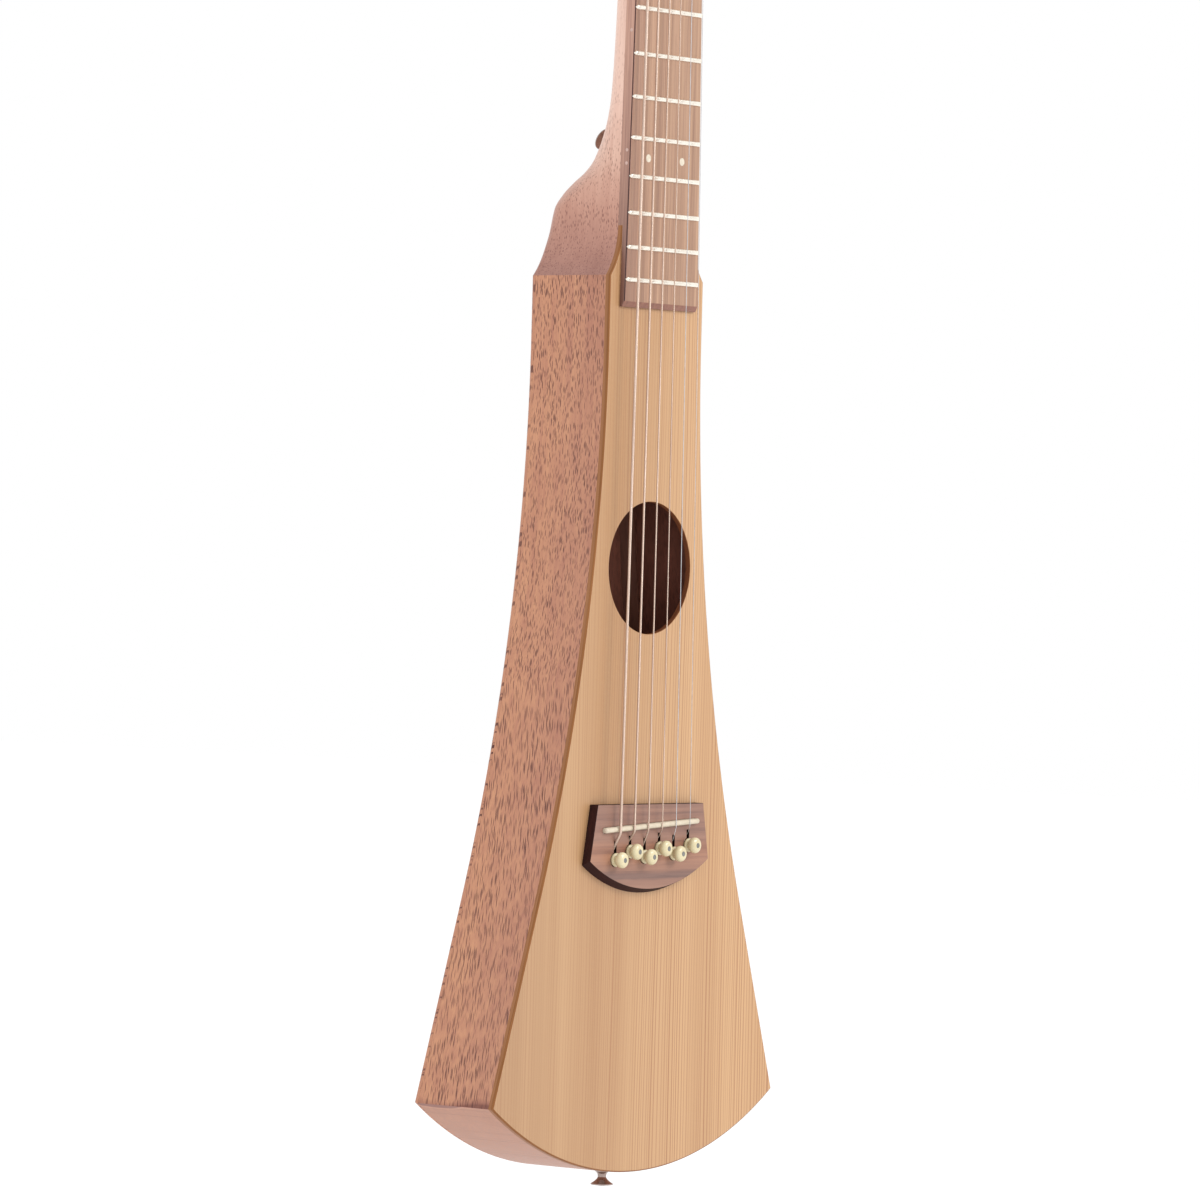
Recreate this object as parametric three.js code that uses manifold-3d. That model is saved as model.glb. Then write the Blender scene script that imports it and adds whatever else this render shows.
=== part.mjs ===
// Travel guitar with a slim, wedge-shaped hollow body and a full-length neck.
// Millimetres. The guitar stands upright: +Z runs up the neck, the strings face -Y, the bass side is -X.
// The origin is the lowest point of the tail, on the centre line, at half the body's depth.
import * as THREE from 'three';
import { mergeVertices } from 'three/addons/utils/BufferGeometryUtils.js';
import Module from 'manifold-3d';

const wasm = await Module();
wasm.setup();

// Fits
const glueLine = 0.3; // between wooden faces that are curved or tilted
const restGap = 0.3; // between a piece and what it rests on or passes through
const runningGap = 0.5; // round a turning post or shaft
const overrun = 1; // how far a cutting tool runs past the face that it cuts

// Body
const bodyLength = 421.7; // tail to heel joint, on the centre line
const bodyDepth = 47.6;
const topThickness = 2.6;
const backThickness = 2.8;
const sideThickness = 2.6;
const upperHalfWidth = 36;
const straightSideLength = 28.4;
const flareRadius = 875;
const flareAngle = THREE.MathUtils.degToRad(17.7);
const tailRadius = 183.6;
const tailBlockThickness = 14;
const shoulderLength = 23.6; // the soundboard's tongue beside the fingerboard
const soundHoleRadius = 31.2;
const soundHoleToSaddle = 121.4;

// Scale, fingerboard and frets
const scaleLength = 609.6;
const fretCount = 15;
const jointAboveLastFret = 1.7;
const boardPastLastFret = 12.8;
const boardWidthAtNut = 42.9;
const boardWidthAtTwelfth = 54.5;
const boardProud = 2.9; // fingerboard face above the soundboard face
const boardEndBevelDepth = 1.6;
const boardEndBevelRun = 2.6;
const fretCrownWidth = 2.3;
const fretCrownHeight = 1.05;
const fretTangThickness = 0.6;
const fretTangDepth = 1.8;
const fretTangInset = 2;

// Neck, heel and headstock
const neckWoodAtNut = 13.8; // below the fingerboard
const neckWoodAtHeel = 15.6;
const heelLength = 126.6;
const headAngle = THREE.MathUtils.degToRad(12);
const headLength = 150;
const headHalfWidth = 30;
const headThickness = 14;
const headEdgeRadius = 2;
const trussRodWidth = 6;
const trussRodDepth = 9;
const trussRodFromNut = 12;
const trussNutLength = 9;
const trussNutWidth = 8;

// Nut, bridge and saddle
const nutThickness = 5;
const nutRise = 0.9; // nut above the strings' undersides
const stringRiseAtNut = 2.4; // undersides above the fingerboard
const stringRiseAtSaddle = 4.2;
const stringSpreadAtNut = 37.2;
const stringSpreadAtSaddle = 54;
const bridgeThickness = 4.7;
const bridgeAboveSaddle = 10.2;
const bridgeCornerBelowSaddle = 16.2;
const bridgeHalfWidthAbove = 40.4;
const bridgeHalfWidthBelow = 45.4;
const bridgeArcDrop = 13.6;
const bridgeSideFlare = 0.3; // its foot reaches past its face
const bridgeArcFlare = 2;
const saddleLength = 72;
const saddleMiddle = -0.5; // from the centre line
const saddleThickness = 2.6;
const saddleSlotDepth = 3;
const saddleSlant = 3.72; // over the saddle's length, bass end lower
const bridgePlateThickness = 2.5;
const bridgePlateMargin = 8;
const braceWidth = 8;
const braceHeight = 12;
const braceBelowSoundHole = 30;

// Bridge pins
const pinSpread = 55.7;
const pinsMiddle = 1.05; // from the centre line
const pinNearRow = 11.1; // below the saddle
const pinFarRow = 14.3;
const pinShankRadius = 2.5;
const pinTipRadius = 2.2;
const pinTipPast = 0.8; // past the bridge plate
const pinCollarRadius = 3.25;
const pinCollarHeight = 1.1;
const pinWaistRadius = 2.2;
const pinHeadRadius = 3.8;
const pinHeadHeight = 6.3;
const pinHeadFront = 2; // from its widest place
const pinHeadBack = 2.4;
const pinSlotWidth = 2;
const pinSlotDepth = 4.5;
const pinSlotPast = 1.4; // past the string, towards the saddle

// Strings, from the bass side to the treble side
const stringDiameters = [1.35, 1.07, 0.81, 0.6, 0.4, 0.3];
const stringBallRadius = 1.9;
const stringBallLength = 3.2;
const stringBendDepth = 2.2; // below the bridge's face
const windingTurns = 2.25;
const windingGap = 0.45; // between neighbouring turns

// Tuning machines
const postAcross = 19; // post axis from the centre line
const firstPostFromNut = 34;
const postPitch = 36;
const postRadius = 3;
const postWaistRadius = 2.4;
const postAboveHead = 11;
const postWaistTop = 9.4;
const postWaistBottom = 3;
const postHoleHeight = 8.4;
const postHoleRadius = 0.9;
const postEndRadius = 1.6;
const gearTeeth = 15;
const gearPitchRadius = 5.25;
const gearThickness = 3;
const toothAddendum = 0.55;
const toothDedendum = 0.85;
const toothThickness = 0.72;
const wormPitchRadius = 2.25;
const wormTurns = 2.5;
const shaftRadius = 1.5;
const housingWall = 1;
const housingCorner = 2.4;
const gearRunningGap = 0.4;
const buttonFromHeadEdge = 5;
const buttonLength = 13;
const buttonHalfWidth = 8;
const buttonHalfThickness = 3.6;

// End pin and strap button
const endPinForward = 4.7; // towards the soundboard from half the body's depth
const heelButtonAboveJoint = 63.2;
const strapButtonHeight = 7.8;
const strapFlangeRadius = 5.4;
const strapFlangeThickness = 0.6;
const strapDomeHeight = 0.5;
const strapDomeRadius = 2.6;
const strapBellLength = 3.3; // from the waist to the flange
const strapBellHalfRadius = 3.1;
const strapWaistRadius = 2;
const strapBaseRadius = 3.4;
const strapBaseThickness = 1.2;
const strapScrewRadius = 1.6;
const strapScrewLength = 11;

// Facet counts
const flareSteps = 9;
const tailSteps = 12;
const shoulderSteps = 4;
const holeSteps = 32;
const sectionSteps = 6;
const boreSides = 8;
const rodSides = 10;
const buttonSides = 10;
const threadSteps = 12;
const coilSteps = 14;
const stringSides = 6;
const strapSides = 16;

// Places worked out from the sizes above
const frontY = -bodyDepth / 2;
const backY = bodyDepth / 2;
const neckFlatY = frontY + topThickness;
const boardTopY = frontY - boardProud;
const bridgeTopY = frontY - bridgeThickness;
const jointZ = bodyLength;
const nutZ = jointZ + fretDistance(fretCount) - jointAboveLastFret;
const saddleZ = nutZ - scaleLength;
const soundHoleZ = saddleZ + soundHoleToSaddle;
const tongueZ = jointZ + shoulderLength;
const boardEndZ = nutZ - fretDistance(fretCount) - boardPastLastFret;
const saddleAngle = Math.atan(saddleSlant / saddleLength);
const wormPitch = (2 * Math.PI * gearPitchRadius) / gearTeeth;
const gearToWorm = gearPitchRadius + wormPitchRadius;
const wormTipRadius = wormPitchRadius + toothAddendum;
const wormRootRadius = wormPitchRadius - toothDedendum;
const gearTipRadius = gearPitchRadius + toothAddendum;
const gearMidDepth = headThickness + restGap + runningGap + wormTipRadius;
const housingCavityEnd = gearMidDepth + wormTipRadius + runningGap;

// Solids

// Turns a geometry's faces outwards when they all point inwards.
function facingOut(geometry) {
  const p = geometry.attributes.position;
  const index = geometry.index.array;
  const [a, b, c] = [new THREE.Vector3(), new THREE.Vector3(), new THREE.Vector3()];
  let volume = 0;
  for (let i = 0; i < index.length; i += 3) {
    a.fromBufferAttribute(p, index[i]);
    b.fromBufferAttribute(p, index[i + 1]);
    c.fromBufferAttribute(p, index[i + 2]);
    volume += a.dot(b.cross(c));
  }
  if (volume < 0) geometry.setIndex(Array.from(index).reverse());
  return geometry;
}

// Keeps only positions, merges shared corners and turns the faces outwards.
function closed(geometry) {
  const bare = geometry.clone();
  bare.deleteAttribute('normal');
  bare.deleteAttribute('uv');
  return facingOut(mergeVertices(bare));
}

function manifoldOf(geometry) {
  const bare = closed(geometry);
  return new wasm.Manifold(new wasm.Mesh({
    numProp: 3,
    vertProperties: new Float32Array(bare.attributes.position.array),
    triVerts: new Uint32Array(bare.index.array),
  }));
}

function geometryOf(manifold) {
  const mesh = manifold.getMesh();
  const geometry = new THREE.BufferGeometry();
  geometry.setAttribute('position', new THREE.BufferAttribute(new Float32Array(mesh.vertProperties), 3));
  geometry.setIndex(Array.from(mesh.triVerts));
  return geometry;
}

function join(...geometries) {
  return geometryOf(geometries.map(manifoldOf).reduce((all, next) => all.add(next)));
}

function cut(geometry, ...tools) {
  return geometryOf(tools.map(manifoldOf).reduce((rest, tool) => rest.subtract(tool), manifoldOf(geometry)));
}

// A closed skin through rings of points, each ring with the same number of points.
function loft(rings) {
  const count = rings[0].length;
  const positions = rings.flat().flatMap((point) => [point.x, point.y, point.z]);
  const index = [];
  for (let r = 0; r + 1 < rings.length; r += 1) {
    for (let i = 0; i < count; i += 1) {
      const a = r * count + i;
      const b = r * count + ((i + 1) % count);
      index.push(a, b, a + count, b, b + count, a + count);
    }
  }
  const last = (rings.length - 1) * count;
  for (let i = 1; i + 1 < count; i += 1) {
    index.push(0, i + 1, i);
    index.push(last, last + i, last + i + 1);
  }
  const geometry = new THREE.BufferGeometry();
  geometry.setAttribute('position', new THREE.Float32BufferAttribute(positions, 3));
  geometry.setIndex(index);
  return closed(geometry);
}

// A plate with its outline in X and Z, from front to back in Y.
function plate(outline, front, back, holes = []) {
  const shape = new THREE.Shape(outline);
  shape.holes = holes.map((hole) => new THREE.Path(hole));
  const geometry = new THREE.ExtrudeGeometry(shape, { depth: back - front, bevelEnabled: false });
  geometry.rotateX(Math.PI / 2);
  geometry.translate(0, back, 0);
  return closed(geometry);
}

function box(low, high) {
  const size = [0, 1, 2].map((i) => high[i] - low[i]);
  const geometry = new THREE.BoxGeometry(...size);
  geometry.translate(...[0, 1, 2].map((i) => (high[i] + low[i]) / 2));
  return geometry;
}

// A rod along Y or X, between two places on that axis.
function rodY(radius, from, to, x, z, sides = boreSides) {
  const geometry = new THREE.CylinderGeometry(radius, radius, to - from, sides);
  geometry.translate(x, (from + to) / 2, z);
  return geometry;
}

function rodX(radius, from, to, y, z, sides = rodSides) {
  const geometry = new THREE.CylinderGeometry(radius, radius, to - from, sides);
  geometry.rotateZ(Math.PI / 2);
  geometry.translate((from + to) / 2, y, z);
  return geometry;
}

function turned(profile, sides = rodSides) {
  return closed(new THREE.LatheGeometry(profile.map(([r, y]) => new THREE.Vector2(r, y)), sides));
}

function circle(x, z, radius, steps) {
  return Array.from({ length: steps }, (_, i) => {
    const angle = (2 * Math.PI * i) / steps;
    return new THREE.Vector2(x + radius * Math.cos(angle), z + radius * Math.sin(angle));
  });
}

function mirrored(points) {
  return points.map((point) => new THREE.Vector2(-point.x, point.y)).reverse();
}

// Straight-line reading of a table of [place, value] rows.
function readTable(table, place) {
  const next = table.findIndex((row) => row[0] >= place);
  if (next <= 0) return table[0][1];
  const [low, high] = [table[next - 1], table[next]];
  return low[1] + ((high[1] - low[1]) * (place - low[0])) / (high[0] - low[0]);
}

// Shared outlines

function fretDistance(number) {
  return scaleLength * (1 - 2 ** (-number / 12));
}

function boardHalfWidth(z) {
  const growth = (boardWidthAtTwelfth - boardWidthAtNut) / fretDistance(12);
  return (boardWidthAtNut + growth * (nutZ - z)) / 2;
}

// The outline's arc ends here; below it the side runs straight to the tail corner.
function flareEnd(inset) {
  const radius = flareRadius + inset;
  const x = upperHalfWidth + flareRadius - radius * Math.cos(flareAngle);
  return new THREE.Vector2(x, jointZ - straightSideLength - radius * Math.sin(flareAngle));
}

// Where the straight flare meets the tail's arc.
function tailCorner() {
  const start = flareEnd(0);
  const run = new THREE.Vector2(Math.sin(flareAngle), -Math.cos(flareAngle));
  const fromCentre = start.clone().sub(new THREE.Vector2(0, tailRadius));
  const along = fromCentre.dot(run);
  const reach = -along + Math.sqrt(along ** 2 - fromCentre.lengthSq() + tailRadius ** 2);
  return start.addScaledVector(run, reach);
}

const corner = tailCorner();

// Treble edge of the body from the heel joint down to the height of the tail corner.
function bodyEdge(inset) {
  const points = [new THREE.Vector2(upperHalfWidth - inset, jointZ)];
  for (let i = 0; i <= flareSteps; i += 1) {
    const angle = (flareAngle * i) / flareSteps;
    const radius = flareRadius + inset;
    points.push(new THREE.Vector2(
      upperHalfWidth + flareRadius - radius * Math.cos(angle),
      jointZ - straightSideLength - radius * Math.sin(angle),
    ));
  }
  const end = flareEnd(inset);
  points.push(new THREE.Vector2(end.x + (end.y - corner.y) * Math.tan(flareAngle), corner.y));
  return points;
}

// The tail's arc at a depth below its outer face, from the treble side to the bass side.
function tailArc(inset) {
  const radius = tailRadius - inset;
  const reach = Math.acos((tailRadius - corner.y) / radius);
  return Array.from({ length: tailSteps + 1 }, (_, i) => {
    const angle = reach * (1 - (2 * i) / tailSteps);
    return new THREE.Vector2(radius * Math.sin(angle), tailRadius - radius * Math.cos(angle));
  });
}

// Half width beside the fingerboard's end, where the heel swells out to the body.
function shoulderHalfWidth(z) {
  const start = boardHalfWidth(tongueZ);
  if (z >= tongueZ) return boardHalfWidth(z);
  const growth = upperHalfWidth - start;
  const radius = (shoulderLength ** 2 + growth ** 2) / (2 * growth);
  return start + radius - Math.sqrt(radius ** 2 - (tongueZ - z) ** 2);
}

function shoulderEdge() {
  return Array.from({ length: shoulderSteps + 1 }, (_, i) => {
    const z = tongueZ - (shoulderLength * i) / shoulderSteps;
    return new THREE.Vector2(shoulderHalfWidth(z), z);
  });
}

function saddleLine(x) {
  return saddleZ + (x * saddleSlant) / saddleLength;
}

// Places of the strings and pins, counted from the bass side.
function acrossAt(spread, number) {
  return (spread * (number - (stringDiameters.length - 1) / 2)) / (stringDiameters.length - 1);
}

function pinPlace(number) {
  const x = pinsMiddle + acrossAt(pinSpread, number);
  const row = number % 2 === 0 ? pinFarRow : pinNearRow;
  return new THREE.Vector2(x, saddleLine(x) - row);
}

// How far a string lies from its pin's axis, towards the saddle.
function stringFromPin(number) {
  return pinShankRadius + restGap + stringDiameters[number] / 2;
}

const strings = stringDiameters.map((_, number) => number);

// A round hole for each pin, open towards the saddle for its string.
function pinHoles(front, back) {
  return strings.flatMap((number) => {
    const pin = pinPlace(number);
    const reach = stringFromPin(number) + stringDiameters[number] / 2 + restGap;
    return [
      rodY(pinShankRadius + restGap, front, back, pin.x, pin.y),
      box([pin.x - pinSlotWidth / 2, front, pin.y], [pin.x + pinSlotWidth / 2, back, pin.y + reach]),
    ];
  });
}

// Materials
const mahogany = new THREE.MeshStandardMaterial({ color: 0xb98a70, roughness: 0.55 });
const spruce = new THREE.MeshStandardMaterial({ color: 0xd3a77e, roughness: 0.5 });
const rosewood = new THREE.MeshStandardMaterial({ color: 0x7a5545, roughness: 0.5 });
const boardWood = new THREE.MeshStandardMaterial({ color: 0x8c6a58, roughness: 0.55 });
const innerWood = new THREE.MeshStandardMaterial({ color: 0xc9a983, roughness: 0.7 });
const bone = new THREE.MeshStandardMaterial({ color: 0xe9dfc6, roughness: 0.35 });
const fretMetal = new THREE.MeshStandardMaterial({ color: 0xd8d2c4, roughness: 0.3, metalness: 1 });
const chrome = new THREE.MeshStandardMaterial({ color: 0xcfcfd2, roughness: 0.15, metalness: 1 });
const bronze = new THREE.MeshStandardMaterial({ color: 0xd0a070, roughness: 0.3, metalness: 1 });
const steel = new THREE.MeshStandardMaterial({ color: 0xc8c8cc, roughness: 0.3, metalness: 1 });

function piece(group, name, geometry, material) {
  const mesh = new THREE.Mesh(geometry, material);
  mesh.name = name;
  group.add(mesh);
  return mesh;
}

// Body shell

function makeSoundboard() {
  const right = [...shoulderEdge(), ...bodyEdge(0).slice(1, -1)];
  const outline = [...right, ...tailArc(0), ...mirrored(right)];
  const board = plate(outline, frontY, neckFlatY, [circle(0, soundHoleZ, soundHoleRadius, holeSteps)]);
  return cut(board, ...pinHoles(frontY - overrun, neckFlatY + overrun));
}

function makeBackPlate() {
  const right = bodyEdge(0).slice(0, -1);
  return plate([...right, ...tailArc(0), ...mirrored(right)], backY - backThickness, backY);
}

function makeSide(sign) {
  const outline = [...bodyEdge(0), ...bodyEdge(sideThickness).reverse()];
  return plate(outline.map((point) => new THREE.Vector2(sign * point.x, point.y)), neckFlatY, backY - backThickness);
}

function makeTailBlock() {
  const outline = [...tailArc(0), ...tailArc(tailBlockThickness).reverse()];
  const radius = strapScrewRadius + restGap;
  const screwHole = new THREE.CylinderGeometry(radius, radius, 2 * (strapScrewLength + restGap), rodSides);
  screwHole.rotateX(Math.PI / 2);
  screwHole.translate(0, -endPinForward, 0);
  return cut(plate(outline, neckFlatY, backY - backThickness), screwHole);
}

function insideHalfWidth(z) {
  const edge = bodyEdge(sideThickness).map((point) => [-point.y, point.x]);
  return readTable(edge, -z);
}

function makeTopBrace() {
  const topZ = soundHoleZ - soundHoleRadius - braceBelowSoundHole;
  const reach = insideHalfWidth(topZ) - glueLine;
  return box([-reach, neckFlatY, topZ - braceWidth], [reach, neckFlatY + braceHeight, topZ]);
}

function makeBridgePlate() {
  const reach = pinSpread / 2 + bridgePlateMargin;
  const low = saddleZ - pinFarRow - bridgePlateMargin;
  const high = saddleZ + bridgePlateMargin;
  const back = neckFlatY + bridgePlateThickness;
  return cut(
    box([-reach, neckFlatY, low], [reach, back, high]),
    ...pinHoles(neckFlatY - overrun, back + overrun),
  );
}

// Neck with heel, neck block and headstock

// Shares of the heel's length, from its upper end, and of its growth in depth there.
const heelDepthShares = [
  [0, 0], [0.134, 0.024], [0.253, 0.054], [0.34, 0.094], [0.42, 0.18], [0.517, 0.37], [0.564, 0.503],
  [0.61, 0.636], [0.644, 0.776], [0.69, 0.912], [0.742, 0.984], [0.81, 1], [1, 1],
];
// Shares of the section's half width and depth that its rounded corner takes.
const heelRoundWidthShares = [
  [0, 1], [0.56, 1], [0.61, 0.86], [0.644, 0.72], [0.69, 0.56], [0.742, 0.42], [0.81, 0.32], [0.9, 0.16], [1, 0.06],
];
const heelRoundDepthShares = [
  [0, 0.96], [0.56, 0.96], [0.61, 0.84], [0.644, 0.7], [0.69, 0.48], [0.742, 0.28], [0.81, 0.2], [0.9, 0.1], [1, 0.05],
];
// Shares of the headstock's length, of its growth in width, and of its corner's rounding.
const headWidthShares = [
  [0, 0], [0.05, 0.03], [0.1, 0.26], [0.15, 0.64], [0.2, 0.82], [0.5, 0.91], [0.92, 1], [0.96, 0.93], [0.985, 0.74],
  [1, 0.42],
];
const headRoundShares = [[0, 0.9], [0.05, 0.6], [0.1, 0.3], [0.15, 0.1], [0.2, 0], [1, 0]];

// One cross section: flat in front, rounded corners behind. Points run from the treble edge to the bass edge.
function section(halfWidth, depth, roundWidth, roundDepth, place) {
  const half = [new THREE.Vector2(halfWidth, 0)];
  for (let i = 0; i <= sectionSteps; i += 1) {
    const angle = (Math.PI * i) / (2 * sectionSteps);
    half.push(new THREE.Vector2(
      halfWidth - roundWidth * (1 - Math.cos(angle)),
      depth - roundDepth * (1 - Math.sin(angle)),
    ));
  }
  const other = half.map((point) => new THREE.Vector2(-point.x, point.y)).reverse();
  const joined = half[half.length - 1].x > 0 ? other : other.slice(1);
  return [...half, ...joined].map((point) => place(point.x, point.y));
}

const headMatrix = new THREE.Matrix4()
  .makeTranslation(0, neckFlatY, nutZ + nutThickness)
  .multiply(new THREE.Matrix4().makeRotationX(-headAngle));

function neckSection(z, depth, roundWidthShare, roundDepthShare) {
  const halfWidth = shoulderHalfWidth(Math.min(z, nutZ));
  const inner = roundWidthShare * (halfWidth - restGap);
  return section(halfWidth, depth, inner, roundDepthShare * depth, (x, y) => new THREE.Vector3(x, neckFlatY + y, z));
}

function headSection(share) {
  const growth = headHalfWidth - boardWidthAtNut / 2;
  const halfWidth = boardWidthAtNut / 2 + growth * readTable(headWidthShares, share);
  const round = readTable(headRoundShares, share);
  const roundWidth = headEdgeRadius + round * (halfWidth - headEdgeRadius - restGap);
  const roundDepth = headEdgeRadius + round * (headThickness - headEdgeRadius - restGap);
  return section(halfWidth, headThickness, roundWidth, roundDepth, (x, y) => (
    new THREE.Vector3(x, y, headLength * share).applyMatrix4(headMatrix)
  ));
}

function neckSections() {
  const shaftShares = [0, 0.25, 0.5, 0.75];
  const heelTop = jointZ + heelLength;
  const neck = shaftShares.map((share) => neckSection(
    nutZ + (heelTop - nutZ) * share,
    neckWoodAtNut + (neckWoodAtHeel - neckWoodAtNut) * share,
    heelRoundWidthShares[0][1],
    heelRoundDepthShares[0][1],
  ));
  const heelDepth = backY - neckFlatY;
  const heel = heelDepthShares.map(([share, grown]) => neckSection(
    heelTop - heelLength * share,
    neckWoodAtHeel + (heelDepth - neckWoodAtHeel) * grown,
    readTable(heelRoundWidthShares, share),
    readTable(heelRoundDepthShares, share),
  ));
  const head = headWidthShares.map(([share]) => headSection(share));
  return [...head.reverse(), ...neck, ...heel];
}

function makeNeck() {
  const blockHalfWidth = upperHalfWidth - sideThickness;
  const blockEnd = jointZ - straightSideLength;
  const block = box([-blockHalfWidth, neckFlatY, blockEnd], [blockHalfWidth, backY - backThickness, jointZ]);
  const channelHalfWidth = trussRodWidth / 2 + restGap;
  const channel = box(
    [-channelHalfWidth, neckFlatY - overrun, blockEnd - overrun],
    [channelHalfWidth, neckFlatY + trussRodDepth + restGap, nutZ - trussRodFromNut + restGap],
  );
  const postHoles = strings.map((number) => {
    const place = postPlace(number);
    const hole = rodY(postRadius + runningGap, -overrun, headThickness + overrun, place.x, place.y, rodSides);
    return hole.applyMatrix4(headMatrix);
  });
  const screwHole = rodY(strapScrewRadius + restGap, -strapScrewLength - restGap, overrun, 0, 0);
  screwHole.applyMatrix4(heelButtonMatrix());
  return cut(join(loft(neckSections()), block), channel, screwHole, ...postHoles);
}

function makeTrussRod() {
  const half = trussRodWidth / 2;
  const end = jointZ - straightSideLength - restGap;
  const back = neckFlatY + trussRodDepth;
  const rod = box([-half, neckFlatY + restGap, end - restGap], [half, back, nutZ - trussRodFromNut]);
  const middle = (neckFlatY + restGap + back) / 2;
  const reach = trussNutWidth / 2;
  const nut = new THREE.CylinderGeometry(reach, reach, trussNutLength, 6);
  nut.rotateX(Math.PI / 2);
  nut.translate(0, middle, end - trussNutLength / 2);
  return join(rod, nut);
}

// Fingerboard, frets and nut

function boardOutline(top, end) {
  return [
    new THREE.Vector2(boardHalfWidth(top), top),
    new THREE.Vector2(boardHalfWidth(end), end),
    new THREE.Vector2(-boardHalfWidth(end), end),
    new THREE.Vector2(-boardHalfWidth(top), top),
  ];
}

function fretTangHalfWidth(z) {
  return boardHalfWidth(z) - fretTangInset;
}

function makeFingerboard() {
  const face = plate(boardOutline(nutZ, boardEndZ), boardTopY, frontY);
  const root = plate(boardOutline(nutZ, tongueZ), frontY, neckFlatY);
  const slots = [];
  for (let number = 1; number <= fretCount; number += 1) {
    const z = nutZ - fretDistance(number);
    const half = fretTangThickness / 2 + restGap;
    const reach = fretTangHalfWidth(z) + restGap;
    slots.push(box([-reach, boardTopY - overrun, z - half], [reach, boardTopY + fretTangDepth + restGap, z + half]));
  }
  const across = boardHalfWidth(boardEndZ) + overrun;
  const corner = (x, deep, up) => new THREE.Vector3(
    x,
    boardTopY + deep * boardEndBevelDepth,
    boardEndZ + up * boardEndBevelRun,
  );
  const wedge = (x) => [corner(x, -1, 2), corner(x, 2, -1), corner(x, -1, -1)];
  const bevel = loft([wedge(-across), wedge(across)]);
  return cut(join(face, root), ...slots, bevel);
}

// Shares of the crown's half width and of its height.
const fretCrownShares = [[1, 0], [0.86, 0.55], [0.45, 0.93], [-0.45, 0.93], [-0.86, 0.55], [-1, 0]];

function makeFret(number) {
  const z = nutZ - fretDistance(number);
  const reach = boardHalfWidth(z) - restGap;
  const ring = (sign) => fretCrownShares.map(([across, up]) => new THREE.Vector3(
    sign * (reach - up * fretCrownHeight),
    -up * fretCrownHeight,
    (across * fretCrownWidth) / 2,
  ));
  const crown = loft([ring(-1), ring(1)]);
  const tangReach = fretTangHalfWidth(z);
  const half = fretTangThickness / 2;
  const tang = box([-tangReach, -fretCrownHeight / 2, -half], [tangReach, fretTangDepth, half]);
  return join(crown, tang);
}

function stringRise(z) {
  const share = (nutZ - z) / scaleLength;
  return stringRiseAtNut + (stringRiseAtSaddle - stringRiseAtNut) * share;
}

function makeNut() {
  const half = boardWidthAtNut / 2;
  const top = boardTopY - stringRiseAtNut - nutRise;
  const block = box([-half, top, nutZ], [half, neckFlatY, nutZ + nutThickness]);
  const slots = strings.map((number) => {
    const x = acrossAt(stringSpreadAtNut, number);
    const reach = stringDiameters[number] / 2 + restGap;
    const bottom = boardTopY - stringRiseAtNut + restGap;
    return box([x - reach, top - overrun, nutZ - overrun], [x + reach, bottom, nutZ + nutThickness + overrun]);
  });
  return cut(block, ...slots);
}

// Bridge, saddle and pins

function bridgeRing(sideFlare, arcFlare, y) {
  const half = bridgeHalfWidthBelow + sideFlare;
  const radius = (half ** 2 + bridgeArcDrop ** 2) / (2 * bridgeArcDrop);
  const centreZ = saddleZ - bridgeCornerBelowSaddle - arcFlare - bridgeArcDrop + radius;
  const reach = Math.asin(half / radius);
  const arc = Array.from({ length: tailSteps + 1 }, (_, i) => {
    const angle = reach * (1 - (2 * i) / tailSteps);
    return new THREE.Vector3(radius * Math.sin(angle), y, centreZ - radius * Math.cos(angle));
  });
  const topZ = saddleZ + bridgeAboveSaddle;
  const topHalf = bridgeHalfWidthAbove + sideFlare;
  return [new THREE.Vector3(topHalf, y, topZ), ...arc, new THREE.Vector3(-topHalf, y, topZ)];
}

function saddleTurn() {
  return new THREE.Matrix4()
    .makeTranslation(saddleMiddle, 0, saddleLine(saddleMiddle))
    .multiply(new THREE.Matrix4().makeRotationY(-saddleAngle));
}

function saddleBar(extra, front, back) {
  const half = saddleLength / 2 + extra;
  const thick = saddleThickness / 2 + extra;
  return box([-half, front, -thick], [half, back, thick]).applyMatrix4(saddleTurn());
}

// The height at which a string rises out of its slot, past the bridge's face.
function slotExit(number) {
  const pin = pinPlace(number);
  const bendZ = pin.y + stringFromPin(number);
  const topY = boardTopY - stringRiseAtSaddle - stringDiameters[number] / 2;
  const run = saddleLine(pin.x) - saddleThickness / 2 - restGap - bendZ;
  return bendZ + (run * stringBendDepth) / (bridgeTopY + stringBendDepth - topY);
}

function makeBridge() {
  const block = loft([bridgeRing(bridgeSideFlare, bridgeArcFlare, frontY), bridgeRing(0, 0, bridgeTopY)]);
  const slot = saddleBar(restGap, bridgeTopY - overrun, bridgeTopY + saddleSlotDepth + restGap);
  const ramps = strings.map((number) => {
    const pin = pinPlace(number);
    const reach = slotExit(number) + pinSlotPast;
    const bottom = bridgeTopY + pinSlotDepth;
    return box([pin.x - pinSlotWidth / 2, bridgeTopY - overrun, pin.y], [pin.x + pinSlotWidth / 2, bottom, reach]);
  });
  return cut(block, slot, ...ramps, ...pinHoles(bridgeTopY - overrun, frontY + overrun));
}

// Shares of the saddle's half thickness and of its rounded top.
const saddleTopShares = [[1, 1], [0.8, 0.3], [0.35, 0], [-0.35, 0], [-0.8, 0.3], [-1, 1]];

function makeSaddle() {
  const half = saddleLength / 2;
  const top = boardTopY - stringRiseAtSaddle + restGap;
  const thick = saddleThickness / 2;
  const bottom = bridgeTopY + saddleSlotDepth;
  const ring = (x) => [
    ...saddleTopShares.map(([across, down]) => new THREE.Vector3(x, top + down * thick, across * thick)),
    new THREE.Vector3(x, bottom, -thick),
    new THREE.Vector3(x, bottom, thick),
  ];
  return loft([ring(-half), ring(half)]).applyMatrix4(saddleTurn());
}

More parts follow.
